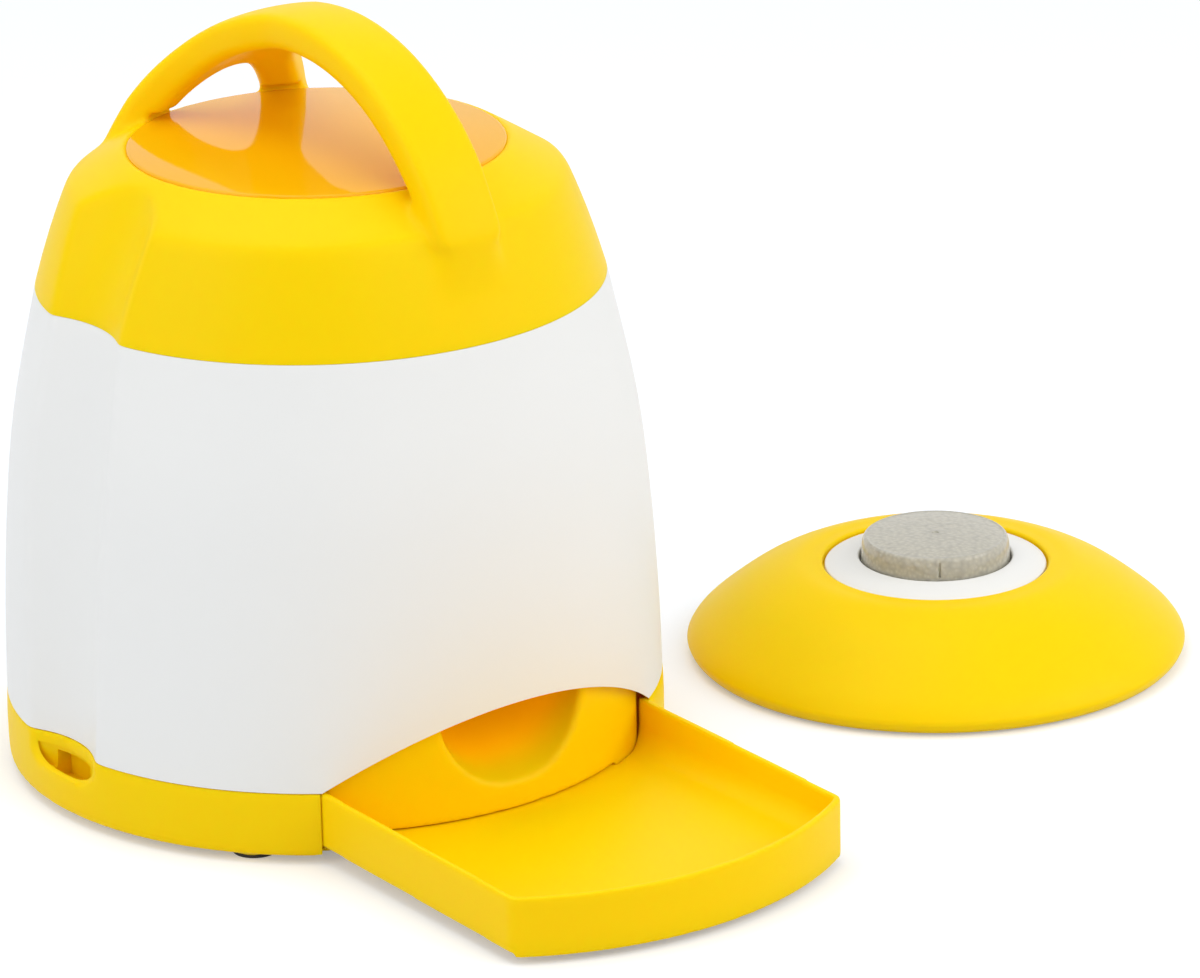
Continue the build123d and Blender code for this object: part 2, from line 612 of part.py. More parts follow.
with BuildPart() as dosing_floor:
    with BuildSketch(Plane.XY.offset(DOSE_Z)):
        Circle(DOSE_R)
    extrude(amount=DOSE_T)
    # bosses for the motor bracket
    with BuildSketch(Plane.XY.offset(DOSE_Z - 4)):
        with Locations(*BRACKET_POSTS):
            Circle(4.5)
    extrude(amount=4)
    with BuildSketch(Plane.XY.offset(DOSE_Z - 4)):
        with Locations(*BRACKET_POSTS):
            Circle(1.5)
        for angle in DOSE_SCREW_ANGLES:
            with PolarLocations(DOSE_SCREW_RING, 1, start_angle=angle):
                Circle(1.6)
    extrude(amount=4 + DOSE_T - 0.8, mode=Mode.SUBTRACT)
    with BuildSketch(Plane.XY.offset(DOSE_Z)):
        for angle in DOSE_SCREW_ANGLES:
            with PolarLocations(DOSE_SCREW_RING, 1, start_angle=angle):
                Circle(1.6)
        Circle(BUSH_R)
        for side in (-1, 1):
            with Locations((side * CHUTE_EAR[0], CHUTE_EAR[1])):
                Circle(CHUTE_SCREW_R - 0.3)
    extrude(amount=DOSE_T, mode=Mode.SUBTRACT)
    # drop hole over the chute
    with BuildSketch(Plane.XY.offset(DOSE_Z)):
        Circle(DROP_OUT)
        Circle(DROP_IN, mode=Mode.SUBTRACT)
        side = 60 * tan(radians(DROP_HALF_ANGLE))
        Polygon([(0, 0), (-side, -60), (side, -60)], align=None, mode=Mode.INTERSECT)
    extrude(amount=DOSE_T, mode=Mode.SUBTRACT)
dosing_floor.part.label = "dosing_floor"
export_step(dosing_floor.part, "parts/dosing_floor.step")

with BuildPart() as hopper_screws:
    with BuildSketch(Plane.XY.offset(DOSE_Z - 2)):
        for angle in DOSE_SCREW_ANGLES:
            with PolarLocations(DOSE_SCREW_RING, 1, start_angle=angle):
                Circle(2.8)
    extrude(amount=2)
    with BuildSketch(Plane.XY.offset(DOSE_Z)):
        for angle in DOSE_SCREW_ANGLES:
            with PolarLocations(DOSE_SCREW_RING, 1, start_angle=angle):
                Circle(1.2)
    extrude(amount=DOSE_T + FLANGE_T)
hopper_screws.part.label = "hopper_screws"
export_step(hopper_screws.part, "parts/hopper_screws.step")

with BuildPart() as chute_screws:
    for side in (-1, 1):
        with BuildSketch(Plane.XY.offset(DOSE_Z - FLANGE_T - 2)):
            with Locations((side * CHUTE_EAR[0], CHUTE_EAR[1])):
                Circle(2.8)
        extrude(amount=2)
        with BuildSketch(Plane.XY.offset(DOSE_Z - FLANGE_T)):
            with Locations((side * CHUTE_EAR[0], CHUTE_EAR[1])):
                Circle(CHUTE_SCREW_R - 0.3)
        extrude(amount=FLANGE_T + DOSE_T)
chute_screws.part.label = "chute_screws"
export_step(chute_screws.part, "parts/chute_screws.step")

# ---------------------------------------------------------------- paddle rotor on its shaft
with BuildPart() as paddle_rotor:
    with BuildSketch(Plane.XZ):
        low = DOSE_TOP + 0.8
        Polygon([(0, low), (13, low), (13, low + PADDLE_H - 2), (9, low + 28), (4, low + 32), (0, low + 33)], align=None)
    revolve(axis=Axis.Z)
    with BuildSketch(Plane.XY.offset(DOSE_TOP + 0.8)):
        with PolarLocations(31, PADDLES):
            Rectangle(2 * (PADDLE_R - 31), 2.4)
    extrude(amount=PADDLE_H)
    fillet(paddle_rotor.edges().filter_by(Axis.Z).group_by(lambda edge: round(edge.center().Z))[0], 0.6)
    with BuildSketch(Plane.XY.offset(DOSE_TOP)):
        Circle(SHAFT_R)
    extrude(amount=SHAFT_TOP - DOSE_TOP, mode=Mode.SUBTRACT)
paddle_rotor.part.label = "paddle_rotor"
export_step(paddle_rotor.part, "parts/paddle_rotor.step")

with BuildPart() as rotor_shaft:
    with BuildSketch(Plane.XY.offset(61)):
        Circle(SHAFT_R)
    extrude(amount=SHAFT_TOP - 61)
    chamfer(rotor_shaft.edges(), 0.5)
    # groove for the clip
    with BuildSketch(Plane.XY.offset(CLIP_Z)):
        Circle(SHAFT_R + 1)
        Circle(SHAFT_R - 0.8, mode=Mode.SUBTRACT)
    extrude(amount=1, mode=Mode.SUBTRACT)
rotor_shaft.part.label = "rotor_shaft"
export_step(rotor_shaft.part, "parts/rotor_shaft.step")

with BuildPart() as shaft_clip:
    with BuildSketch(Plane.XY.offset(CLIP_Z)):
        Circle(SHAFT_R + 2.2)
        Circle(SHAFT_R - 0.8, mode=Mode.SUBTRACT)
        with Locations((5, 0)):
            Rectangle(10, 4, mode=Mode.SUBTRACT)
    extrude(amount=1)
shaft_clip.part.label = "shaft_clip"
export_step(shaft_clip.part, "parts/shaft_clip.step")

with BuildPart() as drive_gear:
    with BuildSketch(Plane.XY.offset(GEAR_Z)):
        toothed(GEAR_TEETH, 0)
        Circle(SHAFT_R, mode=Mode.SUBTRACT)
    extrude(amount=GEAR_W)
    with BuildSketch(Plane.XY.offset(GEAR_Z + GEAR_W)):
        Circle(SHAFT_R + 3)
        Circle(SHAFT_R, mode=Mode.SUBTRACT)
    extrude(amount=2)
    # lightening holes
    with BuildSketch(Plane.XY.offset(GEAR_Z)):
        with PolarLocations(12.5, 6):
            Circle(3.4)
    extrude(amount=GEAR_W, mode=Mode.SUBTRACT)
drive_gear.part.label = "drive_gear"
export_step(drive_gear.part, "parts/drive_gear.step")

with BuildPart() as shaft_bush:
    with BuildSketch(Plane.XY.offset(DOSE_Z)):
        Circle(BUSH_R)
    extrude(amount=DOSE_T + 0.4)
    with BuildSketch(Plane.XY.offset(DOSE_Z - 1.6)):
        Circle(BUSH_R + 2.5)
    extrude(amount=1.6)
    with BuildSketch(Plane.XY.offset(DOSE_Z - 2)):
        Circle(SHAFT_R + RUNNING)
    extrude(amount=10, mode=Mode.SUBTRACT)
shaft_bush.part.label = "shaft_bush"
export_step(shaft_bush.part, "parts/shaft_bush.step")

# ---------------------------------------------------------------- geared motor on its bracket
with BuildPart() as motor_pinion:
    with BuildSketch(Plane(origin=(MOTOR_X, 0, GEAR_Z))):
        toothed(PINION_TEETH, 180 / PINION_TEETH)
        Circle(OUTPUT_R, mode=Mode.SUBTRACT)
    extrude(amount=GEAR_W)
motor_pinion.part.label = "motor_pinion"
export_step(motor_pinion.part, "parts/motor_pinion.step")

with BuildPart() as output_shaft:
    with BuildSketch(Plane(origin=(MOTOR_X, 0, PLATE_Z - 8))):
        Circle(OUTPUT_R)
    extrude(amount=8 + PLATE_T + 1 + GEAR_W + 1)
    chamfer(output_shaft.edges().group_by(Axis.Z)[-1], 0.3)
output_shaft.part.label = "output_shaft"
export_step(output_shaft.part, "parts/output_shaft.step")

with BuildPart() as motor_bracket:
    with BuildSketch(Plane.XY.offset(PLATE_Z)):
        with Locations((-8.5, 0)):
            RectangleRounded(83, 33, 6)
    extrude(amount=PLATE_T)
    with BuildSketch(Plane.XY.offset(PLATE_Z + PLATE_T)):
        with Locations(*BRACKET_POSTS):
            Circle(3.5)
    extrude(amount=DOSE_Z - 4 - PLATE_Z - PLATE_T)
    with BuildSketch(Plane.XY.offset(PLATE_Z)):
        Circle(SHAFT_R + RUNNING)
        with Locations((MOTOR_X, 0)):
            Circle(OUTPUT_R + 1.5)
        with Locations(*BRACKET_POSTS):
            Circle(1.7)
        with Locations(*MOTOR_SCREWS):
            Circle(1.4)
    extrude(amount=20, mode=Mode.SUBTRACT)
motor_bracket.part.label = "motor_bracket"
export_step(motor_bracket.part, "parts/motor_bracket.step")

with BuildPart() as gearbox:
    with BuildSketch(Plane(origin=(MOTOR_X, 0, PLATE_Z - GEARBOX_H))):
        Circle(GEARBOX_R)
    extrude(amount=GEARBOX_H)
    chamfer(gearbox.edges(), 0.6)
    with BuildSketch(Plane(origin=(MOTOR_X, 0, PLATE_Z - 8))):
        Circle(OUTPUT_R + RUNNING)
    extrude(amount=10, mode=Mode.SUBTRACT)
    with BuildSketch(Plane.XY.offset(PLATE_Z - 6)):
        with Locations(*MOTOR_SCREWS):
            Circle(1.25)
    extrude(amount=10, mode=Mode.SUBTRACT)
gearbox.part.label = "gearbox"
export_step(gearbox.part, "parts/gearbox.step")

with BuildPart() as drive_motor:
    with BuildSketch(Plane(origin=(MOTOR_X, 0, PLATE_Z - GEARBOX_H - CAN_H))):
        Circle(CAN_R)
    extrude(amount=CAN_H)
    fillet(drive_motor.edges().group_by(Axis.Z)[0], 1.5)
    with BuildSketch(Plane(origin=(MOTOR_X, 0, PLATE_Z - GEARBOX_H - CAN_H - 1.5))):
        Circle(4)
    extrude(amount=2)
    with BuildSketch(Plane(origin=(MOTOR_X, 0, PLATE_Z - GEARBOX_H - CAN_H - 5))):
        with Locations((0, 8), (0, -8)):
            Rectangle(3, 0.8)
    extrude(amount=6)
drive_motor.part.label = "drive_motor"
export_step(drive_motor.part, "parts/drive_motor.step")

with BuildPart() as motor_screws:
    with BuildSketch(Plane.XY.offset(PLATE_Z + PLATE_T)):
        with Locations(*MOTOR_SCREWS):
            Circle(2.4)
    extrude(amount=0.9)
    with BuildSketch(Plane.XY.offset(PLATE_Z - 6)):
        with Locations(*MOTOR_SCREWS):
            Circle(1.25)
    extrude(amount=6 + PLATE_T)
motor_screws.part.label = "motor_screws"
export_step(motor_screws.part, "parts/motor_screws.step")

with BuildPart() as bracket_screws:
    with BuildSketch(Plane.XY.offset(PLATE_Z - 2)):
        with Locations(*BRACKET_POSTS):
            Circle(3)
    extrude(amount=2)
    with BuildSketch(Plane.XY.offset(PLATE_Z)):
        with Locations(*BRACKET_POSTS):
            Circle(1.5)
    extrude(amount=DOSE_Z + DOSE_T - 0.8 - PLATE_Z)
bracket_screws.part.label = "bracket_screws"
export_step(bracket_screws.part, "parts/bracket_screws.step")

# ---------------------------------------------------------------- batteries of the dispenser
with BuildPart() as battery_box:
    with BuildSketch(Plane.XY.offset(BASE_Z + FLOOR)):
        with Locations((0, BOX_Y)):
            RectangleRounded(BOX_X, BOX_DEPTH, 3)
    extrude(amount=BOX_TOP - BASE_Z - FLOOR)
    fillet(battery_box.edges().group_by(Axis.Z)[-1], 1.5)
    with BuildSketch(Plane.XY.offset(BASE_Z + FLOOR)):
        with Locations((0, BOX_Y)):
            Rectangle(BOX_X - 4, BOX_DEPTH - 4)
    extrude(amount=BOX_TOP - BASE_Z - FLOOR - 2, mode=Mode.SUBTRACT)
    # ears with their screw holes, standoffs for the circuit board
    with BuildSketch(Plane.XY.offset(EAR_Z)):
        with Locations(*BOX_EARS):
            Rectangle(12, 9)
        with Locations((0, BOX_Y)):
            Rectangle(BOX_X - 1, BOX_DEPTH - 1, mode=Mode.SUBTRACT)
        with Locations(*BOX_EARS):
            Circle(1.6, mode=Mode.SUBTRACT)
    extrude(amount=FLANGE_T)
    with BuildSketch(Plane.XY.offset(BOX_TOP)):
        with Locations(*BOARD_POSTS):
            Circle(3)
    extrude(amount=3)
    with BuildSketch(Plane.XY.offset(BOX_TOP - 1.5)):
        with Locations(*BOARD_POSTS):
            Circle(1.2)
    extrude(amount=8, mode=Mode.SUBTRACT)
battery_box.part.label = "battery_box"
export_step(battery_box.part, "parts/battery_box.step")

with BuildPart() as box_screws:
    with BuildSketch(Plane.XY.offset(EAR_Z + FLANGE_T)):
        with Locations(*BOX_EARS):
            Circle(2.8)
    extrude(amount=2)
    with BuildSketch(Plane.XY.offset(BASE_Z + FLOOR)):
        with Locations(*BOX_EARS):
            Circle(1.2)
    extrude(amount=EAR_Z + FLANGE_T - BASE_Z - FLOOR)
box_screws.part.label = "box_screws"
export_step(box_screws.part, "parts/box_screws.step")

with BuildPart() as c_cells:
    for row in (-1, 1):
        for column in (-1, 1):
            middle = (column * (CELL_L / 2 + 0.5), BOX_Y + row * CELL_PITCH / 2, CELL_Z)
            with BuildSketch(Plane(origin=middle, x_dir=(0, 1, 0), z_dir=(1, 0, 0))):
                Circle(CELL_R)
            extrude(amount=CELL_L / 2 - 1.5, both=True)
            with BuildSketch(Plane(origin=middle, x_dir=(0, 1, 0), z_dir=(row, 0, 0))):
                Circle(3.2)
            extrude(amount=CELL_L / 2)
c_cells.part.label = "c_cells"
export_step(c_cells.part, "parts/c_cells.step")

with BuildPart() as battery_contacts:
    for side in (-1, 1):
        with BuildSketch(Plane.YZ.offset(side * (CELL_L + 2.5))):
            with Locations((BOX_Y, CELL_Z)):
                Rectangle(CELL_PITCH + 16, 16)
        extrude(amount=0.5, both=True)
battery_contacts.part.label = "battery_contacts"
export_step(battery_contacts.part, "parts/battery_contacts.step")

with BuildPart() as battery_door:
    with BuildSketch(Plane.XY.offset(BASE_Z)):
        with Locations((0, BOX_Y)):
            Rectangle(*DOOR)
        with Locations((0, EAR_Y + 1)):
            Rectangle(DOOR_EAR[0], DOOR_EAR[1] + 2)
        with Locations((0, EAR_Y)):
            Circle(1.8, mode=Mode.SUBTRACT)
    extrude(amount=FLOOR)
    with BuildSketch(Plane.XY.offset(BASE_Z)):
        with Locations((0, EAR_Y)):
            Circle(3.2)
    extrude(amount=1.2, mode=Mode.SUBTRACT)
    # grip grooves across the door
    with BuildSketch(Plane.XY.offset(BASE_Z)):
        with Locations((0, BOX_Y)):
            with GridLocations(0, 6, 1, 5):
                Rectangle(60, 2)
    extrude(amount=0.8, mode=Mode.SUBTRACT)
battery_door.part.label = "battery_door"
export_step(battery_door.part, "parts/battery_door.step")

with BuildPart() as door_screw:
    with BuildSketch(Plane(origin=(0, EAR_Y, BASE_Z))):
        Circle(2.9)
    extrude(amount=1.2)
    with BuildSketch(Plane(origin=(0, EAR_Y, BASE_Z + 1.2))):
        Circle(1.5)
    extrude(amount=9)
door_screw.part.label = "door_screw"
export_step(door_screw.part, "parts/door_screw.step")

# ---------------------------------------------------------------- electronics of the dispenser
with BuildPart() as main_circuit_board:
    with BuildSketch(Plane.XY.offset(BOX_TOP + 3)):
        with Locations((0, BOX_Y + 4)):
            Rectangle(76, 44)
        with Locations(*BOARD_POSTS):
            Circle(1.3, mode=Mode.SUBTRACT)
    extrude(amount=1.6)
main_circuit_board.part.label = "main_circuit_board"
export_step(main_circuit_board.part, "parts/main_circuit_board.step")

with BuildPart() as board_chips:
    for x, y, length, width, height in BOARD_CHIPS:
        with BuildSketch(Plane(origin=(x, y, BOX_TOP + 4.6))):
            Rectangle(length, width)
        extrude(amount=height)
board_chips.part.label = "board_chips"
export_step(board_chips.part, "parts/board_chips.step")

with BuildPart() as board_screws:
    with BuildSketch(Plane.XY.offset(BOX_TOP + 4.6)):
        with Locations(*BOARD_POSTS):
            Circle(2.6)
    extrude(amount=1.6)
    with BuildSketch(Plane.XY.offset(BOX_TOP - 1.5)):
        with Locations(*BOARD_POSTS):
            Circle(1.2)
    extrude(amount=6.1)
board_screws.part.label = "board_screws"
export_step(board_screws.part, "parts/board_screws.step")

with BuildPart() as radio_module:
    with BuildSketch(Plane(origin=(22, BOX_Y + 10, BOX_TOP + 4.6))):
        Rectangle(18, 14)
    extrude(amount=2.4)
    with BuildSketch(Plane(origin=(28, BOX_Y + 14, BOX_TOP + 7))):
        Circle(0.8)
    extrude(amount=30)
radio_module.part.label = "radio_module"
export_step(radio_module.part, "parts/radio_module.step")

with BuildPart() as speaker:
    with BuildSketch(Plane.XZ):
        low = BASE_Z + FLOOR
        basket = [(SPEAKER_R, low), (SPEAKER_R, low + 2), (13, low + 10), (12, low + 10), (12, low + 16.5), (0, low + 16.5)]
        Polygon(basket + [(0, low + 5), (6, low + 5), (SPEAKER_R - 3, low)], align=None)
    revolve(axis=Axis.Z)
speaker.part.locate(Location((SPEAKER_X, 0, 0)))
speaker.part.label = "speaker"
export_step(speaker.part, "parts/speaker.step")

with BuildPart() as power_switch:
    with BuildSketch(Plane(origin=(SWITCH_X, SWITCH_TRAVEL / 2, BASE_Z + FLOOR))):
        Rectangle(12, 20)
    extrude(amount=9)
    with BuildSketch(Plane(origin=(SWITCH_X, SWITCH_TRAVEL / 2, BASE_Z + FLOOR))):
        Rectangle(6.6, 6.6 + SWITCH_TRAVEL)
    extrude(amount=3.6, mode=Mode.SUBTRACT)
power_switch.part.label = "power_switch"
export_step(power_switch.part, "parts/power_switch.step")

with BuildPart() as switch_slider:
    with BuildSketch(Plane(origin=(SWITCH_X, 0, 1.6))):
        Rectangle(6, 6)
    extrude(amount=7)
    with BuildSketch(Plane(origin=(SWITCH_X, 0, 1.6))):
        with GridLocations(0, 2, 1, 2):
            Rectangle(6, 0.7)
    extrude(amount=0.6, mode=Mode.SUBTRACT)
switch_slider.part.label = "switch_slider"
export_step(switch_slider.part, "parts/switch_slider.step")

# ---------------------------------------------------------------- remote
with BuildPart() as remote_room:
    room = [(r - REMOTE_WALL, z - REMOTE_WALL) for r, z in REMOTE_OUTLINE[3:]]
    with BuildSketch(Plane.XZ):
        with BuildLine():
            Spline((REMOTE_BASE_R, 8), *room)
            Polyline(room[-1], (0, room[-1][1]), (0, 0), (REMOTE_BASE_R, 0), (REMOTE_BASE_R, 8))
        make_face()
    revolve(axis=Axis.Z)

with BuildPart() as remote_case:
    add(turned(REMOTE_OUTLINE))
    add(remote_room.part, mode=Mode.SUBTRACT)
    # opening with a rounded edge, and the seat of the ring round the button
    with BuildSketch(Plane.XY.offset(RING_EDGE - 6)):
        Circle(OPENING_R)
    extrude(amount=10, mode=Mode.SUBTRACT)
    edge = remote_case.edges().filter_by(GeomType.CIRCLE).filter_by(lambda e: abs(e.radius - OPENING_R) < 0.01)
    fillet(edge.sort_by(Axis.Z)[-1], 1.0)
    with BuildSketch(Plane.XZ):
        low = RING_EDGE - 2 * RING_T
        seat = [(RING_INNER + 8, low), (OPENING_R + 3, low), (OPENING_R + 3, RING_EDGE - 0.4), (OPENING_R, RING_EDGE - 0.4)]
        Polygon(seat + [(OPENING_R, low + RING_T), (RING_INNER + 8, low + RING_T)], align=None)
    revolve(axis=Axis.Z)
    # screw posts
    with BuildSketch(Plane.XY.offset(REMOTE_BASE_Z + FLOOR)):
        with PolarLocations(REMOTE_POST_RING, 4, start_angle=REMOTE_POSTS[0]):
            Circle(4)
    extrude(until=Until.NEXT)
    with BuildSketch(Plane.XY.offset(REMOTE_BASE_Z + FLOOR)):
        with PolarLocations(REMOTE_POST_RING, 4, start_angle=REMOTE_POSTS[0]):
            Circle(1.3)
    extrude(amount=12, mode=Mode.SUBTRACT)
remote_case.part.locate(REMOTE_PLANE.location)
remote_case.part.label = "remote_case"
export_step(remote_case.part, "parts/remote_case.step")

with BuildPart() as remote_ring:
    with BuildSketch(Plane.XZ):
        edge = OPENING_R - 0.3
        seat = RING_EDGE - RING_T
        outside = [(edge, seat), (RING_INNER + 2, seat), (RING_INNER + 2, WELL_Z), (7, WELL_Z)]
        inside = [(7, WELL_Z + 2), (RING_INNER, WELL_Z + 2), (RING_INNER, RING_TOP), (edge, RING_EDGE)]
        Polygon(outside + inside, align=None)
    revolve(axis=Axis.Z)
    fillet(remote_ring.edges().group_by(Axis.Z)[-1], 0.8)
    # holes over the lamps
    with BuildSketch(Plane.XY.offset(WELL_Z)):
        with GridLocations(2 * LAMP_X, 0, 2, 1):
            Circle(LAMP_R + 0.4)
    extrude(amount=2, mode=Mode.SUBTRACT)
remote_ring.part.locate(REMOTE_PLANE.location)
remote_ring.part.label = "remote_ring"
export_step(remote_ring.part, "parts/remote_ring.step")

with BuildPart() as push_cap:
    with BuildSketch(Plane.XZ):
        with BuildLine():
            Line((0, CAP_TOP), (18, CAP_TOP - 0.3))
            ThreePointArc((18, CAP_TOP - 0.3), (27.5, CAP_TOP - 1.3), (CAP_R + 0.1, CAP_TOP - 4.2))
            Polyline((CAP_R + 0.1, CAP_TOP - 4.2), (CAP_R + 0.4, CAP_LOW), (CAP_R - 1.1, CAP_LOW))
            Polyline((CAP_R - 1.1, CAP_LOW), (CAP_R - 1.6, CAP_TOP - 5), (CAP_R - 4, CAP_TOP - 2.6), (0, CAP_TOP - 2.4))
            Line((0, CAP_TOP - 2.4), (0, CAP_TOP))
        make_face()
    revolve(axis=Axis.Z)
    # stem that meets the switch at the end of the travel
    with BuildSketch(Plane.XY.offset(STEM_LOW)):
        Circle(5)
        Circle(3, mode=Mode.SUBTRACT)
    extrude(amount=CAP_TOP - 2 - STEM_LOW)
    with BuildSketch(Plane.XY.offset(STEM_LOW)):
        Circle(4)
    extrude(amount=2)
push_cap.part.locate(REMOTE_PLANE.location)
push_cap.part.label = "push_cap"
export_step(push_cap.part, "parts/push_cap.step")

with BuildPart() as cap_spring:
    with BuildSketch(Plane(origin=(SPRING_R, 0, WELL_Z + 2.6), x_dir=(1, 0, 0), z_dir=(0, 1, 0))):
        Rectangle(1.1, 1.1)
    sweep(path=Helix(pitch=3.3, height=SPRING_H, radius=SPRING_R, center=(0, 0, WELL_Z + 2.6)), is_frenet=True)
cap_spring.part.locate(REMOTE_PLANE.location)
cap_spring.part.label = "cap_spring"
export_step(cap_spring.part, "parts/cap_spring.step")

with BuildPart() as remote_base:
    with BuildSketch(Plane.XY.offset(REMOTE_BASE_Z)):
        Circle(REMOTE_BASE_R - 0.2)
    extrude(amount=FLOOR)
    # standoffs of the board
    with BuildSketch(Plane.XY.offset(REMOTE_BASE_Z + FLOOR)):
        with GridLocations(50, 30, 2, 2):
            Circle(3)
    extrude(amount=BOARD_Z - REMOTE_BASE_Z - FLOOR)
    with BuildSketch(Plane.XY.offset(BOARD_Z - 8)):
        with GridLocations(50, 30, 2, 2):
            Circle(1)
    extrude(amount=8, mode=Mode.SUBTRACT)
    with BuildSketch(Plane.XY.offset(REMOTE_BASE_Z)):
        with PolarLocations(REMOTE_POST_RING, 4, start_angle=REMOTE_POSTS[0]):
            Circle(1.6)
        with Locations((0, HOLDER_Y)):
            Rectangle(REMOTE_DOOR[0] + 0.6, REMOTE_DOOR[1] + 0.6)
        with Locations((0, HOLDER_Y - REMOTE_DOOR[1] / 2 - 3)):
            Rectangle(12.6, 8.6)
    extrude(amount=FLOOR, mode=Mode.SUBTRACT)
    with BuildSketch(Plane.XY.offset(REMOTE_BASE_Z)):
        with PolarLocations(REMOTE_POST_RING, 4, start_angle=REMOTE_POSTS[0]):
            Circle(2.9)
    extrude(amount=1.2, mode=Mode.SUBTRACT)
    # boss above the screw of the battery door
    with BuildSketch(Plane.XY.offset(REMOTE_BASE_Z + FLOOR)):
        with Locations((0, REMOTE_EAR_Y - 1)):
            Rectangle(20, 7)
        with Locations((0, REMOTE_EAR_Y)):
            Circle(1.2, mode=Mode.SUBTRACT)
    extrude(amount=6)
remote_base.part.locate(REMOTE_PLANE.location)
remote_base.part.label = "remote_base"
export_step(remote_base.part, "parts/remote_base.step")

with BuildPart() as remote_screws:
    with BuildSketch(Plane.XY.offset(REMOTE_BASE_Z)):
        with PolarLocations(REMOTE_POST_RING, 4, start_angle=REMOTE_POSTS[0]):
            Circle(2.7)
    extrude(amount=1.2)
    with BuildSketch(Plane.XY.offset(REMOTE_BASE_Z + 1.2)):
        with PolarLocations(REMOTE_POST_RING, 4, start_angle=REMOTE_POSTS[0]):
            Circle(1.3)
    extrude(amount=12)
remote_screws.part.locate(REMOTE_PLANE.location)
remote_screws.part.label = "remote_screws"
export_step(remote_screws.part, "parts/remote_screws.step")

with BuildPart() as remote_feet:
    with BuildSketch():
        with PolarLocations(REMOTE_POST_RING + 6, 4):
            Circle(6)
    extrude(amount=REMOTE_BASE_Z)
remote_feet.part.locate(REMOTE_PLANE.location)
remote_feet.part.label = "remote_feet"
export_step(remote_feet.part, "parts/remote_feet.step")

with BuildPart() as remote_board:
    with BuildSketch(Plane.XY.offset(BOARD_Z)):
        Rectangle(60, 40)
        with GridLocations(50, 30, 2, 2):
            Circle(1.2, mode=Mode.SUBTRACT)
    extrude(amount=1.6)
    with BuildSketch(Plane.XY.offset(BOARD_Z - 2)):
        with Locations((-12, 6), (13, -8)):
            Rectangle(9, 9)
    extrude(amount=2)
remote_board.part.locate(REMOTE_PLANE.location)
remote_board.part.label = "remote_board"
export_step(remote_board.part, "parts/remote_board.step")

with BuildPart() as remote_board_screws:
    with BuildSketch(Plane.XY.offset(BOARD_Z + 1.6)):
        with GridLocations(50, 30, 2, 2):
            Circle(2.2)
    extrude(amount=1.4)
    with BuildSketch(Plane.XY.offset(BOARD_Z - 6)):
        with GridLocations(50, 30, 2, 2):
            Circle(1)
    extrude(amount=7.6)
remote_board_screws.part.locate(REMOTE_PLANE.location)
remote_board_screws.part.label = "remote_board_screws"
export_step(remote_board_screws.part, "parts/remote_board_screws.step")

with BuildPart() as tact_switch:
    with BuildSketch(Plane.XY.offset(BOARD_Z + 1.6)):
        Rectangle(7, 7)
    extrude(amount=3.4)
    with BuildSketch(Plane.XY.offset(BOARD_Z + 5)):
        Circle(1.75)
    extrude(amount=2.8)
tact_switch.part.locate(REMOTE_PLANE.location)
tact_switch.part.label = "tact_switch"
export_step(tact_switch.part, "parts/tact_switch.step")

with BuildPart() as remote_lamps:
    with BuildSketch(Plane.XY.offset(BOARD_Z + 1.6)):
        with GridLocations(2 * LAMP_X, 0, 2, 1):
            Circle(LAMP_R)
    extrude(amount=6)
    fillet(remote_lamps.edges().group_by(Axis.Z)[-1], 2)
remote_lamps.part.locate(REMOTE_PLANE.location)
remote_lamps.part.label = "remote_lamps"
export_step(remote_lamps.part, "parts/remote_lamps.step")

with BuildPart() as remote_cell_holder:
    with BuildSketch(Plane.XY.offset(REMOTE_BASE_Z + FLOOR)):
        with Locations((0, HOLDER_Y)):
            Rectangle(REMOTE_DOOR[0] + 4, REMOTE_DOOR[1] + 1)
            Rectangle(REMOTE_DOOR[0], REMOTE_DOOR[1] - 2, mode=Mode.SUBTRACT)
    extrude(amount=12)
    with BuildSketch(Plane.XY.offset(REMOTE_BASE_Z + FLOOR + 12)):
        with Locations((0, HOLDER_Y)):
            Rectangle(REMOTE_DOOR[0] + 4, REMOTE_DOOR[1] + 1)
    extrude(amount=1.6)
remote_cell_holder.part.locate(REMOTE_PLANE.location)
remote_cell_holder.part.label = "remote_cell_holder"
export_step(remote_cell_holder.part, "parts/remote_cell_holder.step")

with BuildPart() as remote_cells:
    for row in (-1, 1):
        middle = (0, HOLDER_Y + row * 5.9, REMOTE_BASE_Z + FLOOR + 6.2)
        with BuildSketch(Plane(origin=middle, x_dir=(0, 1, 0), z_dir=(1, 0, 0))):
            Circle(AAA_R)
        extrude(amount=AAA_L / 2 - 0.8, both=True)
        with BuildSketch(Plane(origin=middle, x_dir=(0, 1, 0), z_dir=(row, 0, 0))):
            Circle(1.9)
        extrude(amount=AAA_L / 2)
remote_cells.part.locate(REMOTE_PLANE.location)
remote_cells.part.label = "remote_cells"
export_step(remote_cells.part, "parts/remote_cells.step")

with BuildPart() as remote_contacts:
    for side in (-1, 1):
        with BuildSketch(Plane.YZ.offset(side * (REMOTE_DOOR[0] / 2 - 0.4))):
            with Locations((HOLDER_Y, REMOTE_BASE_Z + FLOOR + 6.2)):
                Rectangle(20, 9)
        extrude(amount=0.4, both=True)
        # plate springs that reach the cells
        for row in (-1, 1):
            with BuildSketch(Plane.YZ.offset(side * (REMOTE_DOOR[0] / 2 - 0.8))):
                with Locations((HOLDER_Y + row * 5.9, REMOTE_BASE_Z + FLOOR + 6.2)):
                    Circle(2)
            extrude(amount=-side * 3.6)
remote_contacts.part.locate(REMOTE_PLANE.location)
remote_contacts.part.label = "remote_contacts"
export_step(remote_contacts.part, "parts/remote_contacts.step")

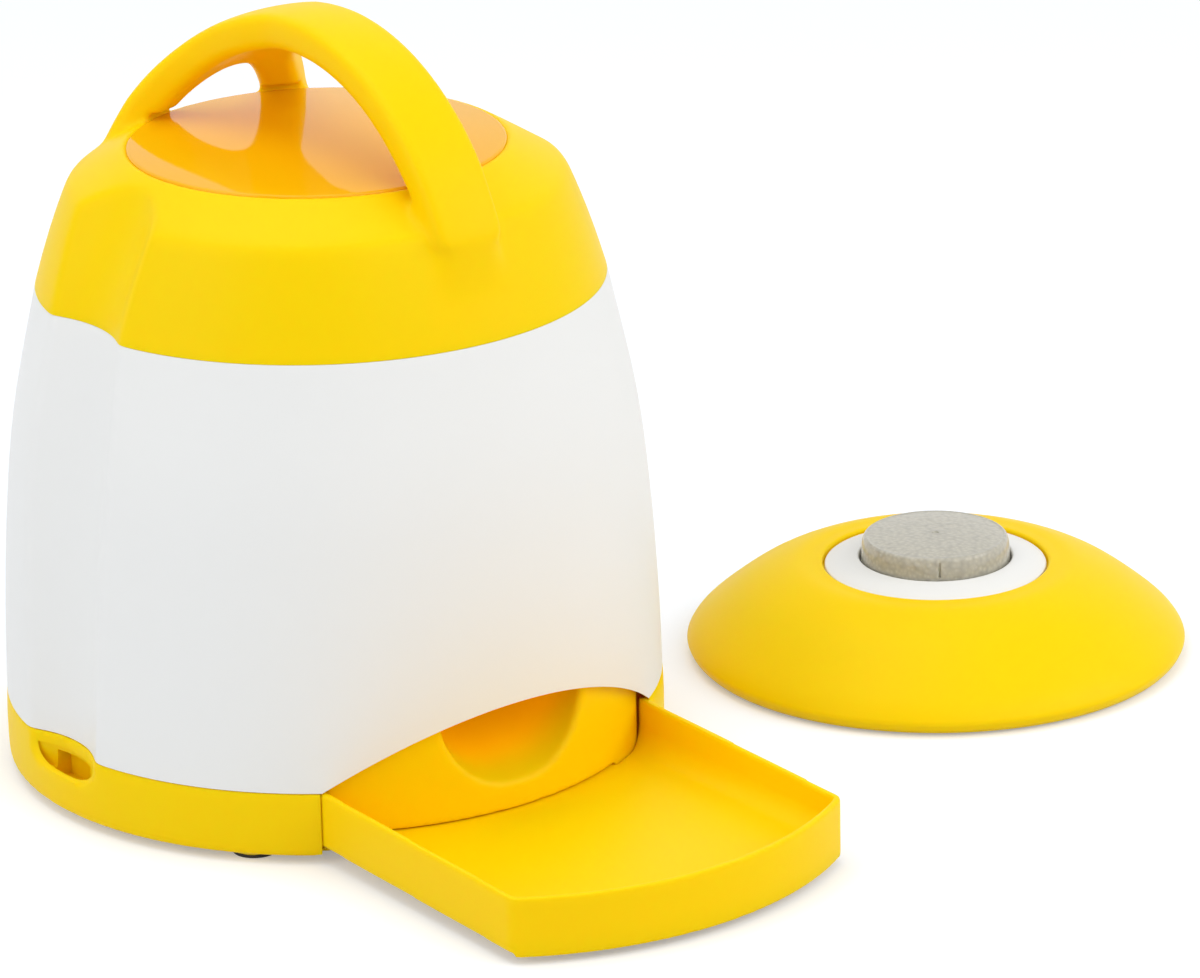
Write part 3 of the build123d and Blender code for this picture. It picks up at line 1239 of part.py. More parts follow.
with BuildPart() as remote_battery_door:
    with BuildSketch(Plane.XY.offset(REMOTE_BASE_Z)):
        with Locations((0, HOLDER_Y)):
            Rectangle(*REMOTE_DOOR)
        with Locations((0, REMOTE_EAR_Y + 1)):
            Rectangle(12, 8)
        with Locations((0, REMOTE_EAR_Y)):
            Circle(1.5, mode=Mode.SUBTRACT)
    extrude(amount=FLOOR)
    with BuildSketch(Plane.XY.offset(REMOTE_BASE_Z)):
        with Locations((0, REMOTE_EAR_Y)):
            Circle(2.7)
    extrude(amount=1.2, mode=Mode.SUBTRACT)
remote_battery_door.part.locate(REMOTE_PLANE.location)
remote_battery_door.part.label = "remote_battery_door"
export_step(remote_battery_door.part, "parts/remote_battery_door.step")

with BuildPart() as remote_door_screw:
    with BuildSketch(Plane(origin=(0, REMOTE_EAR_Y, REMOTE_BASE_Z))):
        Circle(2.5)
    extrude(amount=1.2)
    with BuildSketch(Plane(origin=(0, REMOTE_EAR_Y, REMOTE_BASE_Z + 1.2))):
        Circle(1.2)
    extrude(amount=6)
remote_door_screw.part.locate(REMOTE_PLANE.location)
remote_door_screw.part.label = "remote_door_screw"
export_step(remote_door_screw.part, "parts/remote_door_screw.step")
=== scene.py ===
"""Push button treat dispenser and its remote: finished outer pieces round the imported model.

Metres, +Z up. The dispenser stands on the origin with its tray towards -Y, and the remote lies at +X.
"""

import json
from math import cos, hypot, pi, radians, sin, sqrt, tan

import bpy
from mathutils import Matrix, Vector


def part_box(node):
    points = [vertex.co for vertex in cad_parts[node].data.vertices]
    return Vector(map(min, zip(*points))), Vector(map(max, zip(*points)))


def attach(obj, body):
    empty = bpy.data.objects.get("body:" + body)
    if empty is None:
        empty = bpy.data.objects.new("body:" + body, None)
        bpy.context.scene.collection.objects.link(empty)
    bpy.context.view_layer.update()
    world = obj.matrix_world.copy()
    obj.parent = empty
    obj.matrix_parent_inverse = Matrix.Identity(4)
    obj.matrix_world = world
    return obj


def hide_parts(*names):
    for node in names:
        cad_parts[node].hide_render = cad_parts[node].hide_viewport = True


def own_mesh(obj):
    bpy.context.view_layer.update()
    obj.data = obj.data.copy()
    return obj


bl_info = {
    "name": "Treat Dispenser",
    "version": (1, 0, 0),
    "blender": (4, 5, 0),
    "location": "View3D > Sidebar > Dispenser",
    "description": "Builds the finished pieces of a push button treat dispenser",
    "category": "Add Mesh",
}

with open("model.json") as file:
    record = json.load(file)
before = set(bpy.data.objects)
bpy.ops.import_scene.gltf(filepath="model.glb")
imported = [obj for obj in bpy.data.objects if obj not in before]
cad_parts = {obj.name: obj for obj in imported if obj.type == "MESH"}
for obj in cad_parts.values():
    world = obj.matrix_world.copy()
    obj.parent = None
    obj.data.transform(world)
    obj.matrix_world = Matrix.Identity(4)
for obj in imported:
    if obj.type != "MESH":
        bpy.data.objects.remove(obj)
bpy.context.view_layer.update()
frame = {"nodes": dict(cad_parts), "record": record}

MM = 0.001

MERGE = 0.002 * MM  # points nearer than this are one
SIDES = (-1, 1)

# round outlines as radius and height, in millimetres
SHELL_SIDE = [(126.1, 28.4), (125.2, 60), (122.7, 100), (118.1, 140), (107.9, 188.1)]
LID_SIDE = [(107.8, 188.2), (102.6, 205.2), (97.7, 218.7), (93.7, 228.4)]
REMOTE_SIDE = [
    (96.6, 1.2), (98.4, 3.4), (98.7, 7), (92.5, 14.4), (75, 27.8), (58, 35.6), (48, 36.7)
]
SIDE_STEPS = 8  # between two points of an outline
# the hand recess on each side: height, radius and floor depth of its round cut, in millimetres
RECESS = [
    (10, 42, 118.0), (60, 46, 115.8), (120, 50, 110.5),
    (190, 50, 99.3), (215, 42, 88.6), (250, 34, 73.4),
]
RECESS_STEPS = 12

# triangles that a melted skin may keep
MOST_TRIANGLES = 160_000
TRAY_TRIANGLES = 110_000


# ---------------------------------------------------------------- sizes and colours a user would change
class DispenserSizes(bpy.types.PropertyGroup):
    wall: bpy.props.FloatProperty(
        name="Wall",
        description="Wall of the shell and of the lid's skirt",
        default=2.6 * MM,
        unit="LENGTH",
    )
    rounds: bpy.props.IntProperty(
        name="Round steps", description="Steps in a full turn of a round piece", default=192, min=32
    )
    voxel: bpy.props.FloatProperty(
        name="Voxel", description="Grid of the melted lid", default=1.25 * MM, unit="LENGTH"
    )


class DispenserColours(bpy.types.PropertyGroup):
    yellow: bpy.props.FloatVectorProperty(
        name="Yellow",
        description="Moulded yellow plastic",
        default=(1.0, 0.645, 0.0),
        subtype="COLOR",
    )
    white: bpy.props.FloatVectorProperty(
        name="White",
        description="Moulded white plastic",
        default=(0.84, 0.84, 0.82),
        subtype="COLOR",
    )
    window: bpy.props.FloatVectorProperty(
        name="Window",
        description="Film of the clear window",
        default=(1.0, 0.52, 0.002),
        subtype="COLOR",
    )
    cap: bpy.props.FloatVectorProperty(
        name="Button", description="Frosted button", default=(0.78, 0.745, 0.62), subtype="COLOR"
    )
    floor: bpy.props.FloatVectorProperty(
        name="Floor", description="Pale floor", default=(0.74, 0.77, 0.82), subtype="COLOR"
    )


def sizes():
    return bpy.context.scene.dispenser_sizes


def colours():
    return bpy.context.scene.dispenser_colours


# ---------------------------------------------------------------- curves worked out from a few points
def smooth(points, pieces):
    """Points on a smooth curve through the given ones."""
    pts = [Vector(p) for p in points]
    pts = [2 * pts[0] - pts[1], *pts, 2 * pts[-1] - pts[-2]]
    line = []
    for a, b, c, d in zip(pts, pts[1:], pts[2:], pts[3:]):
        for i in range(pieces):
            t = i / pieces
            bend = (2 * a - 5 * b + 4 * c - d) * t * t
            twist = (3 * b - a - 3 * c + d) * t**3
            line.append(0.5 * (2 * b + (c - a) * t + bend + twist))
    return [tuple(p) for p in line] + [tuple(points[-1])]


def at_height(line, height):
    """The values at a height, from a line of points that each start with their own height."""
    below = max((p for p in line if p[0] <= height), key=lambda p: p[0])
    above = min((p for p in line if p[0] >= height), key=lambda p: p[0])
    share = 0 if above == below else (height - below[0]) / (above[0] - below[0])
    return [low + (high - low) * share for low, high in zip(below[1:], above[1:])]


def radius_at(side, height):
    """Radius of a round outline at a height, in millimetres."""
    return at_height([(z, r) for r, z in smooth(side, SIDE_STEPS)], height)[0]


def ramp(value, low, high):
    """0 below low, 1 above high, and a soft step between."""
    t = min(1.0, max(0.0, (value - low) / (high - low)))
    return t * t * (3 - 2 * t)


def rounded(corner, before, after, radius, pieces):
    """Points of an arc that rounds the corner between two straight runs."""
    corner = Vector(corner)
    a = (Vector(before) - corner).normalized()
    b = (Vector(after) - corner).normalized()
    half = a.angle(b) / 2
    reach = radius / tan(half)
    middle = corner + (a + b).normalized() * radius / sin(half)
    start = corner + a * reach - middle
    end = corner + b * reach - middle
    turn = start.angle(end)
    line = []
    for i in range(pieces + 1):
        t = i / pieces
        line.append(tuple(middle + (start * sin((1 - t) * turn) + end * sin(t * turn)) / sin(turn)))
    return line


def recess_at(height):
    """Radius and floor depth of the hand recess at a height, in millimetres."""
    return at_height(smooth(RECESS, RECESS_STEPS), height)


def box_middle(node):
    """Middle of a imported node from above, in millimetres."""
    low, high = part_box(node)
    return (low.x + high.x) / 2 / MM, (low.y + high.y) / 2 / MM


# ---------------------------------------------------------------- modelling steps
def pick(*objects):
    """Leave only these selected, the first one active, in object mode."""
    if bpy.context.object and bpy.context.object.mode != "OBJECT":
        bpy.ops.object.mode_set(mode="OBJECT")
    bpy.ops.object.select_all(action="DESELECT")
    for obj in objects:
        obj.select_set(True)
    bpy.context.view_layer.objects.active = objects[0]


def edit(obj):
    """Go into edit mode on one piece, with all of it selected."""
    pick(obj)
    bpy.ops.object.mode_set(mode="EDIT")
    bpy.ops.mesh.select_all(action="SELECT")


def close_up(obj):
    """Merge doubled points and turn the faces outwards."""
    edit(obj)
    bpy.ops.mesh.remove_doubles(threshold=MERGE)
    bpy.ops.mesh.normals_make_consistent(inside=False)
    bpy.ops.object.mode_set(mode="OBJECT")


def chain(name, points):
    """An open or closed line of points in metres, made by extruding one point."""
    bpy.ops.object.select_all(action="DESELECT")
    bpy.ops.mesh.primitive_plane_add(size=MM, location=(0, 0, 0))
    obj = bpy.context.object
    obj.name = name
    edit(obj)
    bpy.ops.mesh.merge(type="CENTER")
    bpy.ops.transform.translate(value=Vector(points[0]))
    for start, end in zip(points, points[1:]):
        step = Vector(end) - Vector(start)
        bpy.ops.mesh.extrude_region_move(TRANSFORM_OT_translate={"value": step})
    bpy.ops.mesh.select_all(action="SELECT")
    bpy.ops.mesh.remove_doubles(threshold=MERGE)
    bpy.ops.object.mode_set(mode="OBJECT")
    return obj


def turned(name, outline, centre=(0, 0)):
    """A round solid, spun from an outline of radius and height in millimetres.

    The outline is closed by its axis or by itself.
    """
    x, y = centre
    obj = chain(name, [(x * MM + r * MM, y * MM, z * MM) for r, z in outline])
    edit(obj)
    bpy.ops.mesh.spin(
        steps=sizes().rounds, angle=2 * pi, center=(x * MM, y * MM, 0), axis=(0, 0, 1)
    )
    close_up(obj)
    return obj


def prism(name, outline, low, high):
    """An upright solid on a flat outline, all in millimetres."""
    obj = chain(name, [(x * MM, y * MM, low * MM) for x, y in [*outline, outline[0]]])
    edit(obj)
    bpy.ops.mesh.edge_face_add()
    bpy.ops.mesh.extrude_region_move(TRANSFORM_OT_translate={"value": (0, 0, (high - low) * MM)})
    close_up(obj)
    return obj


def block(name, low, high):
    """A box between two corners in millimetres."""
    (x0, y0, z0), (x1, y1, z1) = low, high
    return prism(name, [(x0, y0), (x1, y0), (x1, y1), (x0, y1)], z0, z1)


def lofted(name, rings):
    """A solid through closed rings of points in millimetres, capped at both ends."""
    loops = []
    for i, ring in enumerate(rings):
        loop = chain(name, [tuple(c * MM for c in point) for point in [*ring, ring[0]]])
        if i in (0, len(rings) - 1):
            edit(loop)
            bpy.ops.mesh.edge_face_add()
            bpy.ops.object.mode_set(mode="OBJECT")
        loops.append(loop)
    pick(*loops)
    bpy.ops.object.join()
    obj = bpy.context.object
    edit(obj)
    bpy.ops.mesh.bridge_edge_loops()
    close_up(obj)
    return obj


def modify(obj, kind, **settings):
    """Add a modifier with these settings and apply it."""
    pick(obj)
    modifier = obj.modifiers.new(kind.title(), kind)
    for key, value in settings.items():
        setattr(modifier, key, value)
    bpy.ops.object.modifier_apply(modifier=modifier.name)


def combine(obj, other, operation):
    """Add, cut or intersect with another piece, which is used up."""
    modify(obj, "BOOLEAN", object=other, operation=operation, solver="EXACT")
    bpy.data.objects.remove(other)


def cut(obj, *others):
    """Cut other pieces out of a piece."""
    for other in others:
        combine(obj, other, "DIFFERENCE")


def tube(name, inner, outer, low, high):
    """A round band between two radii and two heights, in millimetres."""
    return turned(name, [(inner, low), (outer, low), (outer, high), (inner, high), (inner, low)])


def fuse(obj, voxel, rounds):
    """Melt a built-up solid into one skin and smooth its corners, as a mould does."""
    modify(obj, "REMESH", mode="VOXEL", voxel_size=voxel, use_smooth_shade=True)
    modify(obj, "SMOOTH", factor=0.5, iterations=rounds)


def soften(obj, rounds, share):
    """Smooth some places more than others: share gives 0 to 1 for a point in millimetres."""
    group = obj.vertex_groups.new(name="soft")
    for vertex in obj.data.vertices:
        weight = share(*(c / MM for c in vertex.co))
        if weight > 0:
            group.add([vertex.index], weight, "REPLACE")
    modify(obj, "SMOOTH", factor=0.5, iterations=rounds, vertex_group=group.name)
    obj.vertex_groups.clear()


def thin(obj, most=MOST_TRIANGLES):
    """Thin an even skin to at most this many triangles."""
    count = sum(len(face.vertices) - 2 for face in obj.data.polygons)
    if count > most:
        modify(obj, "DECIMATE", ratio=most / count)


def moulding(node, name):
    """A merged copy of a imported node, to melt into a moulding with soft edges."""
    pick(frame["nodes"][node])
    bpy.ops.object.duplicate()
    obj = bpy.context.object
    obj.name = name
    for key in list(obj.keys()):
        del obj[key]
    obj.parent = None
    close_up(obj)
    return obj


def hand_recess(side, low, high, grow=0.0):
    """The tapering round cut on one side between two heights, grown by a wall."""
    ring_gap = 5
    steps = max(2, round((high - low) / ring_gap))
    rings = []
    for i in range(steps + 1):
        height = low + (high - low) * i / steps
        radius, floor = recess_at(height)
        bpy.ops.object.select_all(action="DESELECT")
        bpy.ops.mesh.primitive_circle_add(
            vertices=128,
            radius=(radius + grow) * MM,
            location=(side * (floor + radius) * MM, 0, height * MM),
            fill_type="NGON" if i in (0, steps) else "NOTHING",
        )
        rings.append(bpy.context.object)
    pick(*rings)
    bpy.ops.object.join()
    obj = bpy.context.object
    obj.name = "recess"
    pick(obj)
    bpy.ops.object.transform_apply()
    edit(obj)
    bpy.ops.mesh.bridge_edge_loops()
    close_up(obj)
    return obj


# ---------------------------------------------------------------- node groups and materials
def node_group(name, inputs, outputs):
    """A shader node group with named value or colour sockets."""
    group = bpy.data.node_groups.new(name, "ShaderNodeTree")
    for label, kind, value in inputs:
        socket = group.interface.new_socket(name=label, in_out="INPUT", socket_type=kind)
        socket.default_value = value
    for label, kind in outputs:
        group.interface.new_socket(name=label, in_out="OUTPUT", socket_type=kind)
    return group, group.nodes.new("NodeGroupInput"), group.nodes.new("NodeGroupOutput")


def math_node(nodes, links, operation, first, second):
    """A math node on two values, each a number or the socket that gives one."""
    node = nodes.new("ShaderNodeMath")
    node.operation = operation
    for socket, value in zip(node.inputs, (first, second)):
        if isinstance(value, (int, float)):
            socket.default_value = value
        else:
            links.new(value, socket)
    return node.outputs[0]


def mixed(nodes, links, share, first, second):
    """A mix of two colours by the socket of a share, each a colour or the socket that gives one."""
    node = nodes.new("ShaderNodeMix")
    node.data_type = "RGBA"
    links.new(share, node.inputs[0])
    for socket, value in zip(node.inputs[6:8], (first, second)):
        if isinstance(value, tuple):
            socket.default_value = value
        else:
            links.new(value, socket)
    return node.outputs[2]


def moulded_skin():
    """Fine spark-eroded grain and slow unevenness of a moulded surface."""
    known = bpy.data.node_groups.get("moulded skin")
    if known:
        return known
    group, inside, outside = node_group(
        "moulded skin",
        [
            ("Color", "NodeSocketColor", (0.8, 0.8, 0.8, 1)),
            ("Drift", "NodeSocketFloat", 0.02),
            ("Roughness", "NodeSocketFloat", 0.35),
            ("Grain Scale", "NodeSocketFloat", 2600.0),
            ("Grain", "NodeSocketFloat", 0.5),
        ],
        [
            ("Color", "NodeSocketColor"),
            ("Roughness", "NodeSocketFloat"),
            ("Height", "NodeSocketFloat"),
        ],
    )
    nodes, links = group.nodes, group.links
    place = nodes.new("ShaderNodeTexCoord")
    grain = nodes.new("ShaderNodeTexNoise")
    grain.inputs["Detail"].default_value = 2.0
    links.new(place.outputs["Object"], grain.inputs["Vector"])
    links.new(inside.outputs["Grain Scale"], grain.inputs["Scale"])
    slow = nodes.new("ShaderNodeTexNoise")
    slow.inputs["Scale"].default_value = 14.0
    slow.inputs["Detail"].default_value = 3.0
    links.new(place.outputs["Object"], slow.inputs["Vector"])
    centred = math_node(nodes, links, "SUBTRACT", slow.outputs["Fac"], 0.5)
    drift = math_node(nodes, links, "MULTIPLY", centred, inside.outputs["Drift"])
    value = math_node(nodes, links, "ADD", drift, 1.0)
    tone = nodes.new("ShaderNodeHueSaturation")
    links.new(value, tone.inputs["Value"])
    links.new(inside.outputs["Color"], tone.inputs["Color"])
    links.new(tone.outputs["Color"], outside.inputs["Color"])
    rough_drift = math_node(nodes, links, "MULTIPLY", centred, 0.16)
    rough = math_node(nodes, links, "ADD", rough_drift, inside.outputs["Roughness"])
    links.new(rough, outside.inputs["Roughness"])
    height = math_node(nodes, links, "MULTIPLY", grain.outputs["Fac"], inside.outputs["Grain"])
    links.new(height, outside.inputs["Height"])
    return group


def new_material(name):
    """A new material with its nodes, links and shader."""
    material = bpy.data.materials.new(name)
    material.use_nodes = True
    nodes = material.node_tree.nodes
    return material, nodes, material.node_tree.links, nodes["Principled BSDF"]


def plastic(name, colour, roughness, drift=0.02, grain=0.5, grain_scale=2600.0, specular=0.5):
    """Moulded plastic with its grain."""
    known = bpy.data.materials.get(name)
    if known:
        return known
    material, nodes, links, shader = new_material(name)
    skin = nodes.new("ShaderNodeGroup")
    skin.node_tree = moulded_skin()
    skin.inputs["Color"].default_value = (*colour, 1)
    skin.inputs["Drift"].default_value = drift
    skin.inputs["Roughness"].default_value = roughness
    skin.inputs["Grain Scale"].default_value = grain_scale
    skin.inputs["Grain"].default_value = grain
    bump = nodes.new("ShaderNodeBump")
    bump.inputs["Distance"].default_value = 0.02 * MM
    links.new(skin.outputs["Color"], shader.inputs["Base Color"])
    links.new(skin.outputs["Roughness"], shader.inputs["Roughness"])
    links.new(skin.outputs["Height"], bump.inputs["Height"])
    links.new(bump.outputs["Normal"], shader.inputs["Normal"])
    shader.inputs["Specular IOR Level"].default_value = specular
    return material


def soaked(shader):
    """Let red and some yellow light soak through a thin moulded wall."""
    shader.inputs["Subsurface Weight"].default_value = 0.3
    shader.inputs["Subsurface Radius"].default_value = (1.0, 0.35, 0.02)
    shader.inputs["Subsurface Scale"].default_value = 6 * MM


def yellow_plastic():
    """Yellow plastic of the lid, base, tray and remote."""
    material = plastic("yellow moulded plastic", colours().yellow, roughness=0.42, specular=0.08)
    soaked(material.node_tree.nodes["Principled BSDF"])
    return material


def outlet_plastic():
    """The same plastic, with painted shade and painted light inside the scoop: a deeper orange colour
    and a warm glow, both growing deeper into the scoop.
    """
    known = bpy.data.materials.get("outlet plastic with painted scoop shade")
    if known:
        return known
    material = plastic("outlet plastic with painted scoop shade", colours().yellow, roughness=0.42, specular=0.08)
    nodes, links = material.node_tree.nodes, material.node_tree.links
    shader = nodes["Principled BSDF"]
    soaked(shader)
    place = nodes.new("ShaderNodeTexCoord")
    flat = nodes.new("ShaderNodeVectorMath")
    flat.operation = "MULTIPLY"
    flat.inputs[1].default_value = (1, 1, 0)
    links.new(place.outputs["Object"], flat.inputs[0])
    reach = nodes.new("ShaderNodeVectorMath")
    reach.operation = "LENGTH"
    links.new(flat.outputs["Vector"], reach.inputs[0])
    # mask of the painted shade and glow: 0 at the panel's front, 1 deep in the scoop, from the distance
    # to the upright axis
    depth = nodes.new("ShaderNodeMapRange")
    depth.interpolation_type = "SMOOTHSTEP"
    depth.inputs["From Min"].default_value = 119 * MM
    depth.inputs["From Max"].default_value = 103 * MM
    links.new(reach.outputs["Value"], depth.inputs["Value"])
    # painted shade colour and painted glow colour deep in the scoop, and no glow at the front
    painted_scoop_shade, painted_scoop_glow, dark = (1.0, 0.47, 0.0, 1), (0.3, 0.11, 0.0, 1), (0, 0, 0, 1)
    skin = next(node for node in nodes if node.type == "GROUP")
    tone = mixed(nodes, links, depth.outputs["Result"], skin.outputs["Color"], painted_scoop_shade)
    links.new(tone, shader.inputs["Base Color"])
    glow = mixed(nodes, links, depth.outputs["Result"], dark, painted_scoop_glow)
    links.new(glow, shader.inputs["Emission Color"])
    shader.inputs["Emission Strength"].default_value = 1.0
    return material


def white_plastic():
    """White plastic of the shell and the button's ring."""
    return plastic("white moulded plastic", colours().white, 0.45, drift=0.01, specular=0.2)


def window_plastic():
    """Glossy plastic with a warm film, through which the inside shows faintly."""
    material = plastic("clear window plastic", colours().window, roughness=0.05, grain=0.1)
    shader = material.node_tree.nodes["Principled BSDF"]
    shader.inputs["Alpha"].default_value = 0.86
    shader.inputs["IOR"].default_value = 1.42
    shader.inputs["Specular IOR Level"].default_value = 0.25
    return material


def frosted_plastic():
    """Frosted button: smooth outside, pebbled on the underside of its top."""
    known = bpy.data.materials.get("frosted button plastic")
    if known:
        return known
    material, nodes, links, shader = new_material("frosted button plastic")
    place = nodes.new("ShaderNodeTexCoord")
    pebbles = nodes.new("ShaderNodeTexVoronoi")
    pebbles.feature = "SMOOTH_F1"
    pebbles.inputs["Scale"].default_value = 600.0
    links.new(place.outputs["Object"], pebbles.inputs["Vector"])
    pale = (*colours().cap, 1)
    dull = (*[0.6 * c for c in colours().cap], 1)
    tone = mixed(nodes, links, pebbles.outputs["Distance"], pale, dull)
    links.new(tone, shader.inputs["Base Color"])
    bump = nodes.new("ShaderNodeBump")
    bump.inputs["Distance"].default_value = 0.3 * MM
    links.new(pebbles.outputs["Distance"], bump.inputs["Height"])
    links.new(bump.outputs["Normal"], shader.inputs["Normal"])
    shader.inputs["Roughness"].default_value = 0.28
    shader.inputs["Coat Weight"].default_value = 0.5
    shader.inputs["Coat Roughness"].default_value = 0.12
    shader.inputs["Transmission Weight"].default_value = 0.4
    shader.inputs["IOR"].default_value = 1.49
    return material


# ---------------------------------------------------------------- finishing a piece
def dress(obj, material, body, replaced):
    """Shade, paint and hang a finished piece on its body in place of its nodes."""
    pick(obj)
    bpy.ops.object.transform_apply()
    bpy.ops.object.shade_smooth_by_angle(angle=radians(32))
    obj.data.materials.clear()
    obj.data.materials.append(material)
    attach(obj, body)
    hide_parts(*replaced)


class PieceOperator:
    """What the operators share."""

    bl_options = {"REGISTER", "UNDO"}


class DISPENSER_OT_lid(PieceOperator, bpy.types.Operator):
    """Build the yellow lid with its wishbone handle"""

    bl_idname = "dispenser.lid"
    bl_label = "Lid and handle"

    def execute(self, context):
        lid = moulding("lid_shell", "lid_moulding")
        rim, seam = LID_SIDE[0]
        foot = lofted("foot", [strap_foot(height) for height in range(195, 228, 4)])
        # the skirt runs on below the seam, so that the smoothing doesn't draw its edge in
        skirt = turned(
            "skirt", [(97, 180), (110.2, 180), (rim, seam), (107, 190.8), (97, 190.8), (97, 180)]
        )
        room = turned("skirt_room", [(90, 179), (107.6, 179), (104.4, 192), (90, 192), (90, 179)])
        for sign in SIDES:
            cut(room, hand_recess(sign, 176, 195, sizes().wall / MM))
            cut(skirt, hand_recess(sign, 176, 195))
        cut(skirt, room)
        pick(lid, foot, skirt)
        bpy.ops.object.join()
        fuse(lid, sizes().voxel, 6)
        soften(lid, 24, lid_softness)
        thin(lid)
        cut(lid, tube("seam", 96, 130, 175, seam))
        dress(lid, yellow_plastic(), "lid", ["lid_shell"])
        return {"FINISHED"}


def strap_foot(height):
    """Outline of the strap's front foot at a height.

    Its upright face runs out into the sloping side of the lid, and its foot widens on the way down.
    """
    top_half, spread, face, blend, sunk, back = 14.6, 5, 101.9, 1.5, 0.4, -84
    half = top_half + spread * (1 - ramp(height, 200, 222))
    side = radius_at(LID_SIDE, height)
    gap = face - side
    bulge = 0.5 * (gap + sqrt(gap**2 + blend**2))
    steps = 8
    ring = []
    for i in range(-steps, steps + 1):
        x = half * i / steps
        crown = 1 - abs(i / steps) ** 5
        ring.append((x, -sqrt(side**2 - x**2) + sunk - bulge * crown, height))
    return [*ring, (half, back, height), (-half, back, height)]


def lid_softness(x, y, z):
    """Where the lid is blended: its side and the feet of the handle, but not its plug or rebate."""
    radius = hypot(x, y)
    return ramp(z, 180, 182) * ramp(radius, 74, 79) * (1 - ramp(z, 240, 250))


class DISPENSER_OT_window(PieceOperator, bpy.types.Operator):
    """Build the clear window of the lid"""

    bl_idname = "dispenser.window"
    bl_label = "Window"

    def execute(self, context):
        low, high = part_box("lid_window")
        z0, z1 = low.z / MM, high.z / MM
        r = high.x / MM
        edge = 1.1
        lower = rounded((r, z0), (0, z0), (r, z1), edge, 3)
        upper = rounded((r, z1), (r, z0), (0, z1), edge, 4)
        pane = turned("window_pane", [(0, z0), *lower, *upper, (0, z1)])
        dress(pane, window_plastic(), "lid", ["lid_window"])
        return {"FINISHED"}


class DISPENSER_OT_shell(PieceOperator, bpy.types.Operator):
    """Build the white body shell"""

    bl_idname = "dispenser.shell"
    bl_label = "White shell"

    def execute(self, context):
        wall = sizes().wall / MM
        (foot, low), (rim, high) = SHELL_SIDE[0], SHELL_SIDE[-1]
        # both ends run on, so that the smoothing doesn't draw in the edges that the band then trims
        spare, room_spare = 6, 7
        side = [(foot, low - spare), *smooth(SHELL_SIDE, SIDE_STEPS), (rim - 1.7, high + spare)]
        shell = turned("white_shell", [(0, low - spare), *side, (0, high + spare)])
        room_low, room_high = low - room_spare, high + room_spare
        room_side = [(r - wall, z) for r, z in side]
        room_foot = [(0, room_low), (foot - wall, room_low)]
        room_head = [(rim - wall - 2, room_high), (0, room_high)]
        room = turned("room", [*room_foot, *room_side, *room_head])
        for sign in SIDES:
            cut(room, hand_recess(sign, low - 10, high + 10, wall))
            cut(shell, hand_recess(sign, low - 10, high + 10))
        cut(room, tube("ledge", 92, 130, 169.6, 172))
        cut(shell, room)
        fuse(shell, 1.6 * MM, 3)
        soften(shell, 24, shell_softness)
        thin(shell)
        combine(shell, tube("band", 60, 140, low, high), "INTERSECT")
        cut(shell, arch_cutter())
        dress(shell, white_plastic(), "dispenser", ["body_shell"])
        return {"FINISHED"}


def shell_softness(x, y, z):
    """Where the shell is blended: along the edges of its hand recesses."""
    return ramp(abs(x), 60, 75)


def arch_cutter():
    """The round cut over the tray, a lying cylinder in front of the case."""
    radius, top, length, front = 122.8, 54.0, 60, -120
    bpy.ops.object.select_all(action="DESELECT")
    bpy.ops.mesh.primitive_cylinder_add(
        vertices=256,
        radius=radius * MM,
        depth=length * MM,
        location=(0, front * MM, (top - radius) * MM),
        rotation=(pi / 2, 0, 0),
    )
    obj = bpy.context.object
    bpy.ops.object.transform_apply()
    return obj


class DISPENSER_OT_base(PieceOperator, bpy.types.Operator):
    """Build the yellow base ring, the outlet panel with its scoop, and the tray"""

    bl_idname = "dispenser.base"
    bl_label = "Base, outlet and tray"

    def execute(self, context):
        pan = moulding("base_pan", "base_moulding")
        backs = [pocket_block("pocket_back", sign * 116.5, 7, 22, 8, 16) for sign in SIDES]
        pick(pan, *backs)
        bpy.ops.object.join()
        fuse(pan, 1.4 * MM, 3)
        lip = 124.4
        for sign in SIDES:
            ledge = hand_recess(sign, 15, 24)
            combine(ledge, turned("lip", [(0, 14), (lip, 14), (lip, 25), (0, 25)]), "INTERSECT")
            cut(pan, ledge, pocket_block("pocket", sign * 118.5, 5, 11.5, 11, 22))
        dress(pan, yellow_plastic(), "dispenser", ["base_pan"])
        panel = moulding("outlet_panel", "outlet_moulding")
        chute = moulding("chute", "chute_moulding")
        pick(panel, chute)
        bpy.ops.object.join()
        fuse(panel, 1.0 * MM, 6)
        modify(panel, "DISPLACE", strength=0.4 * MM, mid_level=0)
        # the outlet's material paints shade and a glow into the scoop
        dress(panel, outlet_plastic(), "dispenser", ["outlet_panel", "chute"])
        tray = moulding("tray", "tray_moulding")
        fuse(tray, 0.8 * MM, 8)
        thin(tray, TRAY_TRIANGLES)
        dress(tray, yellow_plastic(), "tray", ["tray"])
        return {"FINISHED"}


def pocket_block(name, x, half_deep, half_wide, low, high):
    """A box across the pocket at the foot of a hand recess, in millimetres."""
    return block(name, (x - half_deep, -half_wide, low), (x + half_deep, half_wide, high))


